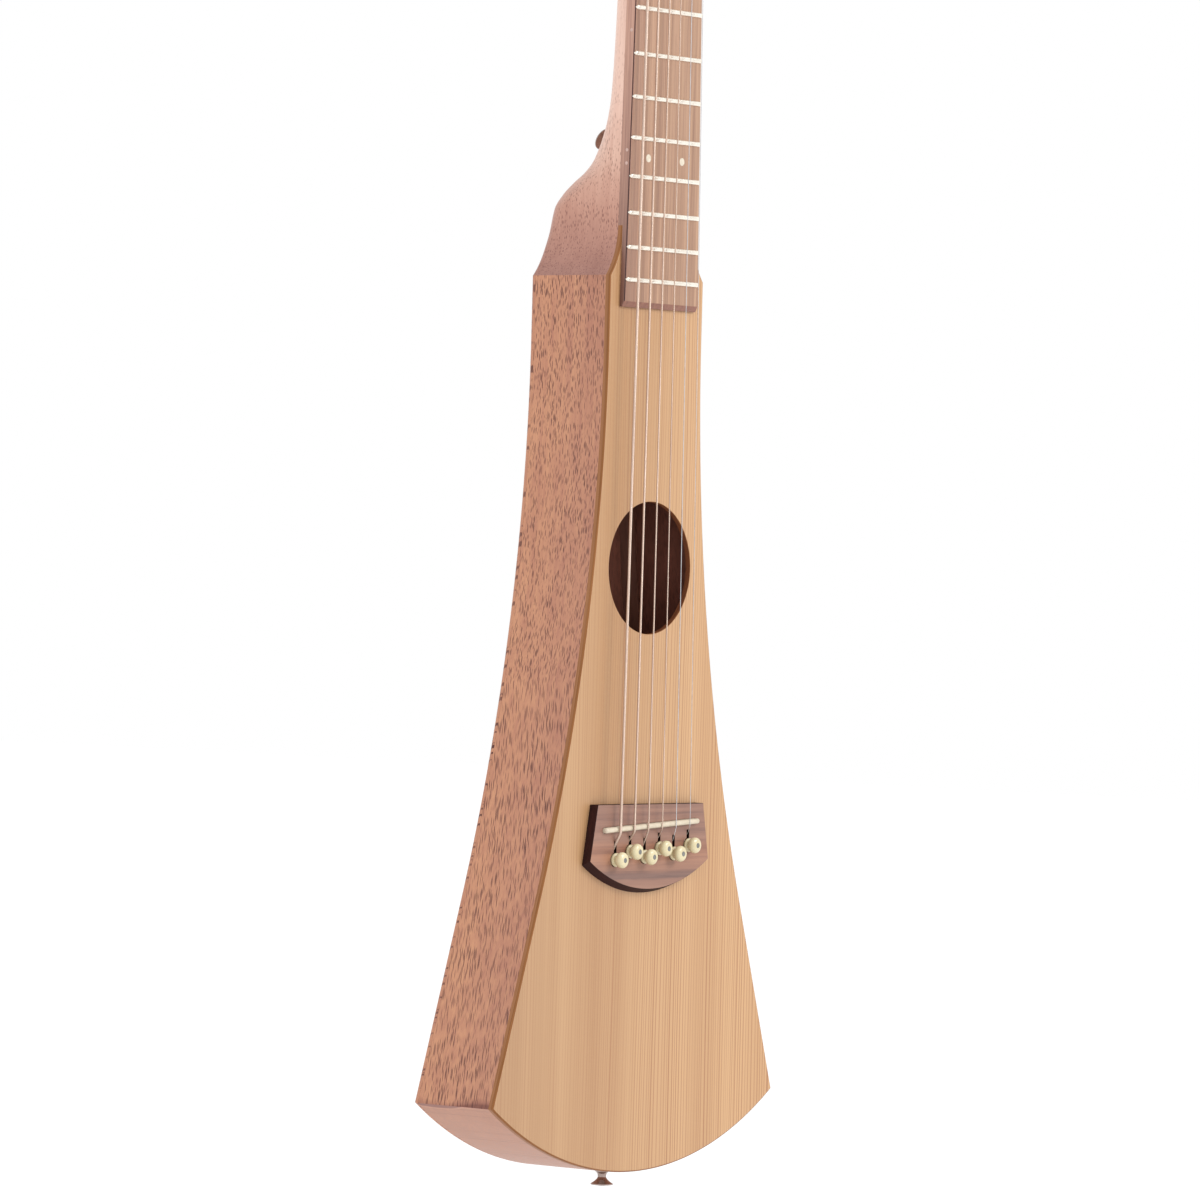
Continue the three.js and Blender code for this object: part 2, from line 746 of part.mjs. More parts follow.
// Shares of the pin head's radius and of its depth before and behind its widest place.
const pinFrontShares = [[0.5, 0.93], [0.82, 0.66], [1, 0]];
const pinBackShares = [[0.9, 0.45], [0.72, 0.8]];

// A pin along Y with its head in front; y = 0 is the bridge's face.
function makePin() {
  const tip = bridgeThickness + topThickness + bridgePlateThickness + pinTipPast;
  const middleY = pinHeadFront - pinHeadHeight;
  const front = pinFrontShares.map(([out, ahead]) => [out * pinHeadRadius, middleY - ahead * pinHeadFront]);
  const back = pinBackShares.map(([out, behind]) => [out * pinHeadRadius, middleY + behind * pinHeadBack]);
  return turned([
    [0, -pinHeadHeight],
    ...front,
    ...back,
    [pinWaistRadius, middleY + pinHeadBack],
    [pinCollarRadius, -restGap - pinCollarHeight],
    [pinCollarRadius, -restGap],
    [pinShankRadius, -restGap],
    [pinTipRadius, tip],
    [0, tip],
  ]);
}

// Strings

// A round tube through points, with its own radius at each point.
function tube(points, radii, sides) {
  const axis = new THREE.Vector3(1, 0, 0);
  const rings = points.map((point, i) => {
    const before = points[Math.max(i - 1, 0)];
    const after = points[Math.min(i + 1, points.length - 1)];
    const along = new THREE.Vector3();
    if (i > 0) along.add(point.clone().sub(before).normalize());
    if (i < points.length - 1) along.add(after.clone().sub(point).normalize());
    along.normalize();
    const u = axis.clone().addScaledVector(along, -axis.dot(along)).normalize();
    axis.copy(u);
    const v = new THREE.Vector3().crossVectors(along, u);
    return Array.from({ length: sides }, (_, k) => {
      const angle = (2 * Math.PI * k) / sides;
      return point.clone()
        .addScaledVector(u, radii[i] * Math.cos(angle))
        .addScaledVector(v, radii[i] * Math.sin(angle));
    });
  });
  return loft(rings);
}

// Which post a string winds on: the outer strings take the posts nearest the nut.
function postPlace(number) {
  const last = strings.length - 1;
  const sign = number < strings.length / 2 ? -1 : 1;
  const rank = Math.min(number, last - number);
  return new THREE.Vector2(sign * postAcross, firstPostFromNut + postPitch * rank);
}

// The winding's points in the headstock's own frame: from where the string meets the post up to its hole.
function windingPoints(number, nutPoint) {
  const radius = stringDiameters[number] / 2;
  const post = postPlace(number);
  const turnRadius = postWaistRadius + restGap + radius;
  const toNut = new THREE.Vector2(nutPoint.x - post.x, nutPoint.z - post.y);
  const inward = -Math.sign(post.x);
  const lean = Math.acos(turnRadius / toNut.length());
  const start = Math.atan2(toNut.y, toNut.x) + inward * lean;
  const climb = stringDiameters[number] + windingGap;
  const steps = Math.round(windingTurns * coilSteps);
  return Array.from({ length: steps + 1 }, (_, i) => {
    const angle = start + (inward * 2 * Math.PI * i) / coilSteps;
    const height = postHoleHeight - climb * (windingTurns - i / coilSteps);
    return new THREE.Vector3(post.x + turnRadius * Math.cos(angle), -height, post.y + turnRadius * Math.sin(angle));
  });
}

// The smallest gap between turns of a winding, measured on its points.
function leastGap(points, radius) {
  let least = Infinity;
  const apart = Math.round(coilSteps / 2);
  points.forEach((a, i) => points.slice(i + apart).forEach((b) => {
    least = Math.min(least, a.distanceTo(b) - 2 * radius);
  }));
  return least;
}

function makeString(number) {
  const radius = stringDiameters[number] / 2;
  const pin = pinPlace(number);
  const z = pin.y + stringFromPin(number);
  const plateBack = neckFlatY + bridgePlateThickness;
  const ballTop = plateBack + pinTipPast + 2 * restGap;
  const saddleX = acrossAt(stringSpreadAtSaddle, number);
  const nutX = acrossAt(stringSpreadAtNut, number);
  const saddleBackZ = saddleLine(saddleX) - saddleThickness / 2 - restGap;
  const nutBackZ = nutZ + nutThickness + restGap;
  const nutPoint = new THREE.Vector3(nutX, boardTopY - stringRise(nutZ) - radius, nutBackZ);
  const route = [
    [new THREE.Vector3(pin.x, ballTop + stringBallLength, z), stringBallRadius],
    [new THREE.Vector3(pin.x, ballTop, z), stringBallRadius],
    [new THREE.Vector3(pin.x, ballTop - restGap, z), radius],
    [new THREE.Vector3(pin.x, bridgeTopY + stringBendDepth, z), radius],
    [new THREE.Vector3(pin.x, bridgeTopY, slotExit(number)), radius],
    [new THREE.Vector3(saddleX, boardTopY - stringRise(saddleZ) - radius, saddleBackZ), radius],
    [nutPoint, radius],
  ];
  const inHead = nutPoint.clone().applyMatrix4(headMatrix.clone().invert());
  const winding = windingPoints(number, inHead);
  console.log(`string_${strings.length - number}: least gap in winding ${leastGap(winding, radius).toFixed(2)} mm`);
  winding.forEach((point) => route.push([point.clone().applyMatrix4(headMatrix), radius]));
  return tube(route.map((stop) => stop[0]), route.map((stop) => stop[1]), stringSides);
}

// Tuning machines, each in a frame whose origin is the post's axis at the headstock's face;
// Y runs through the headstock to the back, the worm lies above the post, the key points to the side.

function makeGear() {
  const toothStep = (2 * Math.PI) / gearTeeth;
  const rootRadius = gearPitchRadius - toothDedendum;
  const pitchHalfAngle = toothThickness / 2 / gearPitchRadius;
  const tipShare = 0.58; // of the tooth's thickness
  const rootShare = 1.5;
  const outline = [];
  for (let i = 0; i < gearTeeth; i += 1) {
    const middle = Math.PI / 2 + toothStep * i;
    [[-rootShare, rootRadius], [-tipShare, gearTipRadius], [tipShare, gearTipRadius], [rootShare, rootRadius]]
      .forEach(([share, radius]) => {
        const angle = middle + share * pitchHalfAngle;
        outline.push(new THREE.Vector2(radius * Math.cos(angle), radius * Math.sin(angle)));
      });
  }
  return plate(outline, gearMidDepth - gearThickness / 2, gearMidDepth + gearThickness / 2);
}

function makePost() {
  const stem = turned([
    [0, -postAboveHead],
    [postRadius, -postAboveHead],
    [postRadius, -postWaistTop - restGap],
    [postWaistRadius, -postWaistTop],
    [postWaistRadius, -postWaistBottom],
    [postRadius, -postWaistBottom + restGap],
    [postRadius, gearMidDepth],
    [postEndRadius, gearMidDepth + gearThickness / 2 + restGap],
    [postEndRadius, housingCavityEnd - restGap],
    [0, housingCavityEnd - restGap],
  ]);
  const hole = new THREE.CylinderGeometry(postHoleRadius, postHoleRadius, 2 * (postRadius + overrun), boreSides);
  hole.rotateX(Math.PI / 2);
  hole.translate(0, -postHoleHeight, 0);
  return cut(join(stem, makeGear()), hole);
}

// The worm's thread: a helical ridge whose foot lies inside the core.
function makeThread() {
  const foot = wormRootRadius - restGap;
  const footShare = 1.7; // of the thread's thickness at the pitch line
  const tipShare = 0.55;
  const steps = Math.round(wormTurns * threadSteps);
  const rings = Array.from({ length: steps + 1 }, (_, i) => {
    const turn = i / threadSteps - wormTurns / 2;
    const angle = 2 * Math.PI * turn;
    const x = wormPitch * (turn - 1 / 4);
    return [[-footShare, foot], [-tipShare, wormTipRadius], [tipShare, wormTipRadius], [footShare, foot]]
      .map(([share, radius]) => new THREE.Vector3(
        x + (share * toothThickness) / 2,
        radius * Math.cos(angle),
        radius * Math.sin(angle),
      ));
  });
  return loft(rings);
}

// Shares of the button's length, half width and half thickness.
const buttonShares = [[0, 0.34, 0.62], [0.2, 0.64, 0.92], [0.5, 0.97, 1], [0.85, 0.96, 0.86], [1, 0.6, 0.5]];

function makeKey(sign) {
  const edge = headHalfWidth - postAcross + buttonFromHeadEdge;
  const cavityReach = gearTipRadius + gearRunningGap;
  const core = rodX(wormRootRadius, -cavityReach + restGap, cavityReach, 0, 0);
  const shaft = rodX(shaftRadius, cavityReach - restGap, edge + buttonLength / 2, 0, 0);
  const button = loft(buttonShares.map(([along, wide, thick]) => (
    Array.from({ length: buttonSides }, (_, i) => {
      const angle = (2 * Math.PI * i) / buttonSides;
      return new THREE.Vector3(
        edge + buttonLength * along,
        buttonHalfThickness * thick * Math.cos(angle),
        buttonHalfWidth * wide * Math.sin(angle),
      );
    })
  )));
  const outer = join(core, shaft, button);
  const flip = new THREE.Matrix4().makeRotationZ(sign > 0 ? 0 : Math.PI);
  const whole = join(geometryOf(manifoldOf(outer.applyMatrix4(flip))), makeThread());
  return whole.translate(0, gearMidDepth, gearToWorm);
}

function roundedBox(lowX, highX, lowZ, highZ, cornerCut) {
  return [
    new THREE.Vector2(highX, lowZ + cornerCut),
    new THREE.Vector2(highX, highZ - cornerCut),
    new THREE.Vector2(highX - cornerCut, highZ),
    new THREE.Vector2(lowX + cornerCut, highZ),
    new THREE.Vector2(lowX, highZ - cornerCut),
    new THREE.Vector2(lowX, lowZ + cornerCut),
    new THREE.Vector2(lowX + cornerCut, lowZ),
    new THREE.Vector2(highX - cornerCut, lowZ),
  ];
}

function makeHousing(sign) {
  const reach = gearTipRadius + gearRunningGap;
  const high = gearToWorm + wormTipRadius + gearRunningGap;
  const outerReach = reach + housingWall;
  const front = headThickness + restGap;
  const outer = plate(
    roundedBox(-outerReach, outerReach, -outerReach, high + housingWall, housingCorner),
    front,
    housingCavityEnd + housingWall,
  );
  const cavity = plate(
    roundedBox(-reach, reach, -reach, high, housingCorner - housingWall),
    front - overrun,
    housingCavityEnd,
  );
  const [from, to] = sign > 0 ? [0, outerReach + overrun] : [-outerReach - overrun, 0];
  const bore = rodX(shaftRadius + runningGap, from, to, gearMidDepth, gearToWorm);
  return cut(outer, cavity, bore);
}

// End pin and strap button, turned about Y with the outer face at the largest y; y = 0 is the wood's face.
function makeStrapButton() {
  const top = restGap + strapButtonHeight;
  const rim = top - strapDomeHeight;
  const bellEnd = rim - strapFlangeThickness;
  return turned([
    [0, -strapScrewLength],
    [strapScrewRadius, -strapScrewLength],
    [strapScrewRadius, restGap],
    [strapBaseRadius, restGap],
    [strapBaseRadius, restGap + strapBaseThickness],
    [strapWaistRadius, restGap + 2 * strapBaseThickness],
    [strapWaistRadius, bellEnd - strapBellLength],
    [strapBellHalfRadius, bellEnd - strapBellLength / 2],
    [strapFlangeRadius, bellEnd],
    [strapFlangeRadius, rim],
    [strapDomeRadius, top],
    [0, top],
  ], strapSides);
}

// The heel's back face on the centre line: its depth and slope at a height above the joint.
function heelBackY(z) {
  const share = (jointZ + heelLength - z) / heelLength;
  const grown = readTable(heelDepthShares, share);
  return neckFlatY + neckWoodAtHeel + (backY - neckFlatY - neckWoodAtHeel) * grown;
}

function heelButtonMatrix() {
  const z = jointZ + heelButtonAboveJoint;
  const reach = strapBaseRadius;
  const [above, below] = [heelBackY(z + reach), heelBackY(z - reach)];
  const seatY = (above + below) / 2;
  const lean = Math.atan2(below - above, 2 * reach);
  return new THREE.Matrix4()
    .makeTranslation(0, Math.max(seatY, heelBackY(z)), z)
    .multiply(new THREE.Matrix4().makeRotationX(lean));
}

// Assembly

const guitar = new THREE.Group();

const body = new THREE.Group();
guitar.add(body);
piece(body, 'soundboard', makeSoundboard(), spruce);
piece(body, 'back_plate', makeBackPlate(), mahogany);
piece(body, 'side_bass', makeSide(-1), mahogany);
piece(body, 'side_treble', makeSide(1), mahogany);
piece(body, 'tail_block', makeTailBlock(), mahogany);
piece(body, 'top_brace', makeTopBrace(), innerWood);
piece(body, 'bridge_plate', makeBridgePlate(), innerWood);
piece(body, 'bridge', makeBridge(), rosewood);
piece(body, 'saddle', makeSaddle(), bone);
const endPin = piece(body, 'end_pin', makeStrapButton(), chrome);
endPin.rotation.x = -Math.PI / 2;
endPin.position.set(0, -endPinForward, 0);

const neck = new THREE.Group();
guitar.add(neck);
piece(neck, 'neck', makeNeck(), mahogany);
piece(neck, 'truss_rod', makeTrussRod(), steel);
piece(neck, 'fingerboard', makeFingerboard(), boardWood);
piece(neck, 'nut', makeNut(), bone);
for (let number = 1; number <= fretCount; number += 1) {
  const fret = piece(neck, `fret_${String(number).padStart(2, '0')}`, makeFret(number), fretMetal);
  fret.position.set(0, boardTopY, nutZ - fretDistance(number));
}
const heelButton = piece(neck, 'heel_button', makeStrapButton(), chrome);
heelButton.applyMatrix4(heelButtonMatrix());

const headstock = new THREE.Group();
headstock.applyMatrix4(headMatrix);
guitar.add(headstock);

// Strings and pins are numbered from the treble side, as players count them.
strings.forEach((number) => {
  const label = strings.length - number;
  piece(guitar, `string_${label}`, makeString(number), number < 4 ? bronze : steel);
  const pin = piece(body, `bridge_pin_${label}`, makePin(), bone);
  const pinSeat = pinPlace(number);
  pin.position.set(pinSeat.x, bridgeTopY, pinSeat.y);
  const machine = new THREE.Group();
  const post = postPlace(number);
  machine.position.set(post.x, 0, post.y);
  headstock.add(machine);
  const sign = Math.sign(post.x);
  piece(machine, `tuner_post_${label}`, makePost(), chrome);
  piece(machine, `tuner_key_${label}`, makeKey(sign), chrome);
  piece(machine, `tuner_housing_${label}`, makeHousing(sign), chrome);
});

export default guitar;
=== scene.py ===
import math

import bmesh
import bpy
from mathutils import Matrix, Vector


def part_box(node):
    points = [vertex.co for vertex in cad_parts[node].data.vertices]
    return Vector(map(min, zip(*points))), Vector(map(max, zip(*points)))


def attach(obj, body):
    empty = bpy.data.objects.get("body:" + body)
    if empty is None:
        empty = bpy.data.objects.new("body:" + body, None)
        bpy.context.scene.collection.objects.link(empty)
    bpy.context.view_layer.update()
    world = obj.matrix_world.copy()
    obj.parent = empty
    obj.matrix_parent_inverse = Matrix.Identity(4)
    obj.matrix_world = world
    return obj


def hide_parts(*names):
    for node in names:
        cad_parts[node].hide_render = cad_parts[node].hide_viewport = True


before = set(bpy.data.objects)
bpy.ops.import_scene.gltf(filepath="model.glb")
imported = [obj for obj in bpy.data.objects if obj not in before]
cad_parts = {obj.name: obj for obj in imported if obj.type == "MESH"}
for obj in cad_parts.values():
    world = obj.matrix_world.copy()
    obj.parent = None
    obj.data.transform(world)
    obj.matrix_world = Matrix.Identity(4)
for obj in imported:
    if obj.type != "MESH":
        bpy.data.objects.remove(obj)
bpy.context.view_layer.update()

# Travel guitar with a slim, wedge-shaped hollow body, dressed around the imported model.
# Shapes are worked out in millimetres in the model's frame (+Z up the neck, strings towards -Y,
# bass side -X), and each mesh is turned into metres when it is made.
MM = 0.001
STRING_COUNT = 6
UP, ACROSS, DEPTH = "Z", "X", "Y"
QUARTER = math.pi / 2


def node_box(node):
    low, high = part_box(node)
    return low / MM, high / MM


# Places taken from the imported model
front_y = node_box("soundboard")[0].y
neck_flat_y = node_box("soundboard")[1].y
tongue_z = node_box("soundboard")[1].z
back_y = node_box("back_plate")[1].y
joint_z = node_box("back_plate")[1].z
side_end_z = node_box("side_bass")[0].z
board_top_y = node_box("fingerboard")[0].y
board_end_z = node_box("fingerboard")[0].z
nut_z = node_box("nut")[0].z
bridge_top_y = node_box("bridge")[0].y
plate_back_y = node_box("bridge_plate")[1].y

# Fits
rest_gap = 0.3
running_gap = 0.5
overrun = 1

# Body
back_thickness = 2.8
side_thickness = 2.6
upper_half_width = 36
straight_side_length = 28.4
flare_radius = 875
flare_angle = math.radians(17.7)
tail_radius = 183.6
tail_block_thickness = 14
sound_hole_radius = 31.2
sound_hole_to_saddle = 121.4
top_edge_round = 1.0
tongue_fade = 8
back_edge_round = 2.1
seam_round = 0.15
hole_edge_round = 0.35
lining_depth = 6
lining_width = 5
lining_from_tail_block = 6
lining_from_neck_block = 4
brace_foot = 6
brace_crest = 1.6
plate_round = 0.8

# Scale, fingerboard and frets
scale_length = 609.6
fret_count = 15
board_width_at_nut = 42.9
board_width_at_twelfth = 54.5
board_end_bevel_depth = 1.6
board_end_bevel_run = 2.6
board_corner_round = 0.8
fret_width = 2.3
fret_height = 1.05
fret_tang = 0.6
fret_tang_depth = 1.8
fret_tang_inset = 2
fret_tip_length = 1.5
side_dot_frets = (3, 5, 7, 9)
double_dot_fret = 12
face_dot_radius = 1.85
face_dot_across = 12.9
side_dot_radius = 0.8
side_dot_below_face = 2.0
side_dot_spread = 6.2
dot_depth = 0.6

# Neck, heel and headstock
neck_wood_at_nut = 13.8
neck_wood_at_heel = 15.6
heel_length = 126.6
head_angle = math.radians(12)
head_length = 150
head_half_width = 30
head_thickness = 14
head_edge_round = 2
head_face_round = 1.0
head_end_round = 1.4
truss_channel_half = 3 + rest_gap
truss_channel_depth = 9 + rest_gap
truss_channel_from_nut = 12 - rest_gap

# Nut, bridge and saddle
nut_thickness = 5
nut_round = 0.8
string_rise_at_nut = 2.4
string_rise_at_saddle = 4.2
spread_at_nut = 37.2
spread_at_saddle = 54
bridge_edge_round = 0.35
bridge_above_saddle = 10.2
bridge_corner_below_saddle = 16.2
bridge_half_width_above = 40.4
bridge_half_width_below = 45.4
bridge_arc_drop = 13.6
bridge_side_flare = 0.3
bridge_arc_flare = 2
saddle_length = 72
saddle_middle = -0.5
saddle_thickness = 2.6
saddle_slot_depth = 3
saddle_slot_gap = 0.12
saddle_slant = 3.72

# Bridge pins
pin_spread = 55.7
pins_middle = 1.05
pin_rows = (14.3, 11.1)
pin_shank_radius = 2.5
pin_tip_radius = 2.2
pin_tip_past = 0.8
pin_collar_radius = 3.25
pin_collar_height = 1.1
pin_waist_radius = 2.2
pin_head_radius = 3.8
pin_head_height = 6.3
pin_head_front = 2
pin_head_back = 2.4
pin_neck_angle = math.radians(70)
pin_dot_radius = 1.2
pin_slot_width = 2
pin_slot_depth = 4.5
pin_slot_past = 1.4
# Reach of the painted shade in the string slots: across from the middle, and down from the saddle.
pin_slot_zone_half = 34
pin_slot_zone_drop = 24
countersink = 0.6

# Strings, from the bass side to the treble side
string_diameters = [1.35, 1.07, 0.81, 0.6, 0.4, 0.3]
wound_strings = 4
wrap_share = 0.32
string_ball_radius = 1.9
string_ball_length = 3.2
string_bend_depth = 2.2
string_bend_radius = 2
winding_turns = 2.25
winding_steps = 28
winding_gap = 0.45

# Tuning machines
post_across = 19
first_post_from_nut = 34
post_pitch = 36
post_radius = 3
post_waist_radius = 2.4
post_above_head = 11
post_waist_top = 9.4
post_waist_bottom = 3
post_hole_height = 8.4
post_hole_radius = 0.9
post_end_radius = 1.6
gear_teeth = 15
gear_pitch_radius = 5.25
gear_thickness = 3
tooth_addendum = 0.55
tooth_dedendum = 0.85
tooth_thickness = 0.72
worm_pitch_radius = 2.25
worm_turns = 2.5
worm_steps = 24
shaft_radius = 1.5
housing_wall = 1
housing_corner = 2.4
housing_round = 0.7
housing_rim_round = 0.2
gear_running_gap = 0.4
button_from_head_edge = 5
button_length = 13
button_half_width = 8
button_half_thickness = 3.6
bushing_radius = 5
bushing_height = 2.2
cover_screw_radius = 1.4
cover_screw_from_edge = 2.4
cover_screw_turn = 0.6

# End pin and strap button
end_pin_forward = 4.7
heel_button_above_joint = 63.2
strap_button_height = 7.8
strap_flange_radius = 5.4
strap_flange_thickness = 0.6
strap_dome_height = 0.5
strap_dome_radius = 2.6
strap_bell_length = 3.3
strap_bell_curve = 1.7
strap_waist_radius = 2
strap_base_radius = 3.4
strap_base_thickness = 1.2
strap_screw_radius = 1.6
strap_screw_length = 11

# Floor and camera
floor_drop = 160
floor_reach = 9000
floor_shine = 0.62
camera_place = (-2408.81, -1892.33, 281.18)
camera_heading = math.radians(51.765)
camera_tilt = math.radians(0.2213)
camera_roll = math.radians(1.5096)
camera_lens = 193.785
camera_sensor = 36
light_aim_z = 300

# Places worked out from the sizes above
inner_back_y = back_y - back_thickness
saddle_z = nut_z - scale_length
saddle_top_y = board_top_y - string_rise_at_saddle
sound_hole_z = saddle_z + sound_hole_to_saddle
worm_pitch = 2 * math.pi * gear_pitch_radius / gear_teeth
gear_to_worm = gear_pitch_radius + worm_pitch_radius
worm_tip_radius = worm_pitch_radius + tooth_addendum
worm_root_radius = worm_pitch_radius - tooth_dedendum
gear_tip_radius = gear_pitch_radius + tooth_addendum
gear_reach = gear_tip_radius + gear_running_gap
gear_mid_depth = head_thickness + rest_gap + running_gap + worm_tip_radius
housing_cavity_end = gear_mid_depth + worm_tip_radius + running_gap
strings = range(STRING_COUNT)


# Shapes: a list of points in millimetres and a list of faces

def at(*numbers):
    return Vector(numbers)


def shift(x, y, z):
    return Matrix.Translation((x, y, z))


def spin(angle, axis):
    return Matrix.Rotation(angle, 4, axis)


def circle(sides):
    return [2 * math.pi * i / sides for i in range(sides)]


def rounding(radius, steps):
    """A rounded edge as (inset, drop), from the face to the side; none where the radius is 0."""
    angles = [QUARTER * i / steps for i in range(steps + 1)] if radius else [0]
    return [(radius * (1 - math.sin(a)), radius * (1 - math.cos(a))) for a in angles]


def lofted(rings):
    """A closed skin through rings with as many points each."""
    count, faces = len(rings[0]), []
    last = (len(rings) - 1) * count
    for start in range(0, last, count):
        for i in range(count):
            a, b = start + i, start + (i + 1) % count
            faces.append((a, b, b + count, a + count))
    faces += [tuple(reversed(range(count))), tuple(range(last, last + count))]
    return [point for ring in rings for point in ring], faces


def merged(shapes):
    points, faces = [], []
    for more_points, more_faces in shapes:
        faces += [tuple(len(points) + i for i in face) for face in more_faces]
        points += more_points
    return points, faces


def moved(shape, matrix):
    return [matrix @ Vector(point) for point in shape[0]], shape[1]


def box_shape(low, high):
    corners = [(low[0], low[1]), (high[0], low[1]), (high[0], high[1]), (low[0], high[1])]
    return lofted([[at(x, y, z) for x, y in corners] for z in (low[2], high[2])])


def turned(profile, sides=48, closed=False):
    """A solid of revolution about Y through (radius, y) points; a closed profile gives a ring."""
    points, faces, rows = [], [], []
    for radius, y in profile:
        angles = circle(sides) if radius else [0]
        rows.append([len(points) + i for i in range(len(angles))])
        points += [at(radius * math.cos(a), y, radius * math.sin(a)) for a in angles]
    for low, high in zip(rows, rows[1:] + (rows[:1] if closed else [])):
        for i in range(sides):
            j = (i + 1) % sides
            corners = [low[i % len(low)], low[j % len(low)], high[j % len(high)], high[i % len(high)]]
            faces.append(tuple(dict.fromkeys(corners)))
    if not closed:
        faces += [tuple(row) for row in (rows[0], rows[-1]) if len(row) > 1]
    return points, faces


def rod_y(radius, low, high, x=0, z=0, sides=32):
    return moved(turned([(radius, low), (radius, high)], sides), shift(x, 0, z))


def rod_x(radius, low, high, y=0, z=0, sides=32):
    return moved(turned([(radius, -high), (radius, -low)], sides), shift(0, y, z) @ spin(QUARTER, UP))


def inward(points, inset, shares=None):
    """A closed outline moved inwards; shares between 0 and 1 lessen it point by point."""
    pairs = list(zip(points, points[1:] + points[:1]))
    way = 1 if sum(a[0] * b[1] - b[0] * a[1] for a, b in pairs) > 0 else -1
    normals = [at(a[1] - b[1], b[0] - a[0]).normalized() * way for a, b in pairs]
    result = []
    for i, after in enumerate(normals):
        before = normals[i - 1]
        mitre = (before + after) / (1 + before.dot(after))
        result.append(Vector(points[i]) + mitre * inset * (shares[i] if shares else 1))
    return result


def slab(outline, front, back, round_front=0.0, round_back=0.0, shares=None, steps=4, flush_z=None):
    """A plate in X and Z with its front and back edges rounded; an end at flush_z stays flush."""
    stops = [(inset, front + drop) for inset, drop in rounding(round_front, steps)]
    stops += [(drop, back - inset) for inset, drop in rounding(round_back, steps)]
    rings = []
    for inset, y in stops:
        ring = inward(outline, inset, shares)
        if flush_z is not None:
            ring = [at(new.x, old.y) if abs(old.y - flush_z) < 0.01 else new
                    for old, new in zip(outline, ring)]
        rings.append([at(point[0], y, point[1]) for point in ring])
    return lofted(rings)


def mirrored(points):
    return [at(-point[0], point[1]) for point in reversed(points)]


def tube(points, radii, sides=12):
    """A round tube through points with its own radius at each, and each point's length along it."""
    axis, rings, lengths, length = at(1, 0, 0), [], [], 0
    for i, point in enumerate(points):
        behind = point - points[max(i - 1, 0)]
        ahead = points[min(i + 1, len(points) - 1)] - point
        along = (behind.normalized() + ahead.normalized()).normalized()
        axis = (axis - along * axis.dot(along)).normalized()
        other = along.cross(axis)
        rings.append([point + (axis * math.cos(a) + other * math.sin(a)) * radii[i] for a in circle(sides)])
        length += behind.length
        lengths.append(length)
    return lofted(rings), lengths


def rounded_route(stops, radius, steps=6):
    """The stops joined by straight lines, with each bend turned on the given radius."""
    route = [stops[0]]
    for before, corner, after in zip(stops, stops[1:], stops[2:]):
        back, ahead = before - corner, after - corner
        reach = min(radius / math.tan(back.angle(ahead) / 2), 0.45 * back.length, 0.45 * ahead.length)
        start, end = corner + back.normalized() * reach, corner + ahead.normalized() * reach
        for t in [i / steps for i in range(steps + 1)]:
            route.append(start * (1 - t) ** 2 + corner * 2 * t * (1 - t) + end * t ** 2)
    return route + [stops[-1]]


def smooth_reading(table, place):
    """A smooth reading, without overshoot, of a table of (place, value) rows."""
    xs, ys = [row[0] for row in table], [row[1] for row in table]
    if place <= xs[0]:
        return ys[0]
    if place >= xs[-1]:
        return ys[-1]
    slopes = [(ys[i + 1] - ys[i]) / (xs[i + 1] - xs[i]) for i in range(len(xs) - 1)]
    tangents = [2 * a * b / (a + b) if a * b > 0 else 0 for a, b in zip(slopes, slopes[1:])]
    tangents = [slopes[0], *tangents, slopes[-1]]
    i = next(k for k in range(len(xs) - 1) if place <= xs[k + 1])
    width = xs[i + 1] - xs[i]
    t = (place - xs[i]) / width
    return (ys[i] * (1 + 2 * t) * (1 - t) ** 2 + width * tangents[i] * t * (1 - t) ** 2
            + ys[i + 1] * t ** 2 * (3 - 2 * t) + width * tangents[i + 1] * t ** 2 * (t - 1))


# Meshes

def new_object(name, shape):
    points, faces = shape
    mesh = bpy.data.meshes.new(name)
    mesh.from_pydata([Vector(point) * MM for point in points], [], faces)
    bm = bmesh.new()
    bm.from_mesh(mesh)
    bmesh.ops.recalc_face_normals(bm, faces=bm.faces)
    bm.to_mesh(mesh)
    bm.free()
    obj = bpy.data.objects.new(name, mesh)
    bpy.context.scene.collection.objects.link(obj)
    return obj


def apply_modifiers(obj):
    evaluated = obj.evaluated_get(bpy.context.evaluated_depsgraph_get())
    mesh = bpy.data.meshes.new_from_object(evaluated)
    obj.modifiers.clear()
    old = obj.data
    obj.data = mesh
    bpy.data.meshes.remove(old)


def carved(obj, *cutters):
    """Cuts each shape out of the object, one after the other."""
    for shape in cutters:
        tool = new_object("cutter", shape)
        change = obj.modifiers.new("cut", "BOOLEAN")
        change.operation = "DIFFERENCE"
        change.solver = "EXACT"
        change.object = tool
        apply_modifiers(obj)
        bpy.data.objects.remove(tool)
    return obj


def finished(obj, material, slot, *nodes, body="guitar", sharp=32, others=(), rule=None):
    """Smooth shading with true flats and the materials, of which rule picks one for a face; then the
    piece's body and the nodes that it stands for. The slot is not used."""
    mesh = obj.data
    mesh.name = obj.name
    mesh.materials.clear()
    for each in (material, *others):
        mesh.materials.append(each)
    for face in mesh.polygons:
        face.use_smooth = True
        face.material_index = rule(face.center / MM, face.normal) if rule else 0
    mesh.set_sharp_from_angle(angle=math.radians(sharp))
    obj.modifiers.new("normals", "WEIGHTED_NORMAL").keep_sharp = True
    apply_modifiers(obj)
    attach(obj, body)
    if nodes:
        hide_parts(*nodes)


def piece(name, shape, *looks, cuts=(), **more):
    finished(carved(new_object(name, shape), *cuts), *looks, **more)


# Materials

def tint(red, green, blue):
    """A colour written as screen values from 0 to 255, for the shader."""
    shares = [value / 255 for value in (red, green, blue)]
    return (*[c / 12.92 if c < 0.04 else ((c + 0.055) / 1.055) ** 2.4 for c in shares], 1.0)


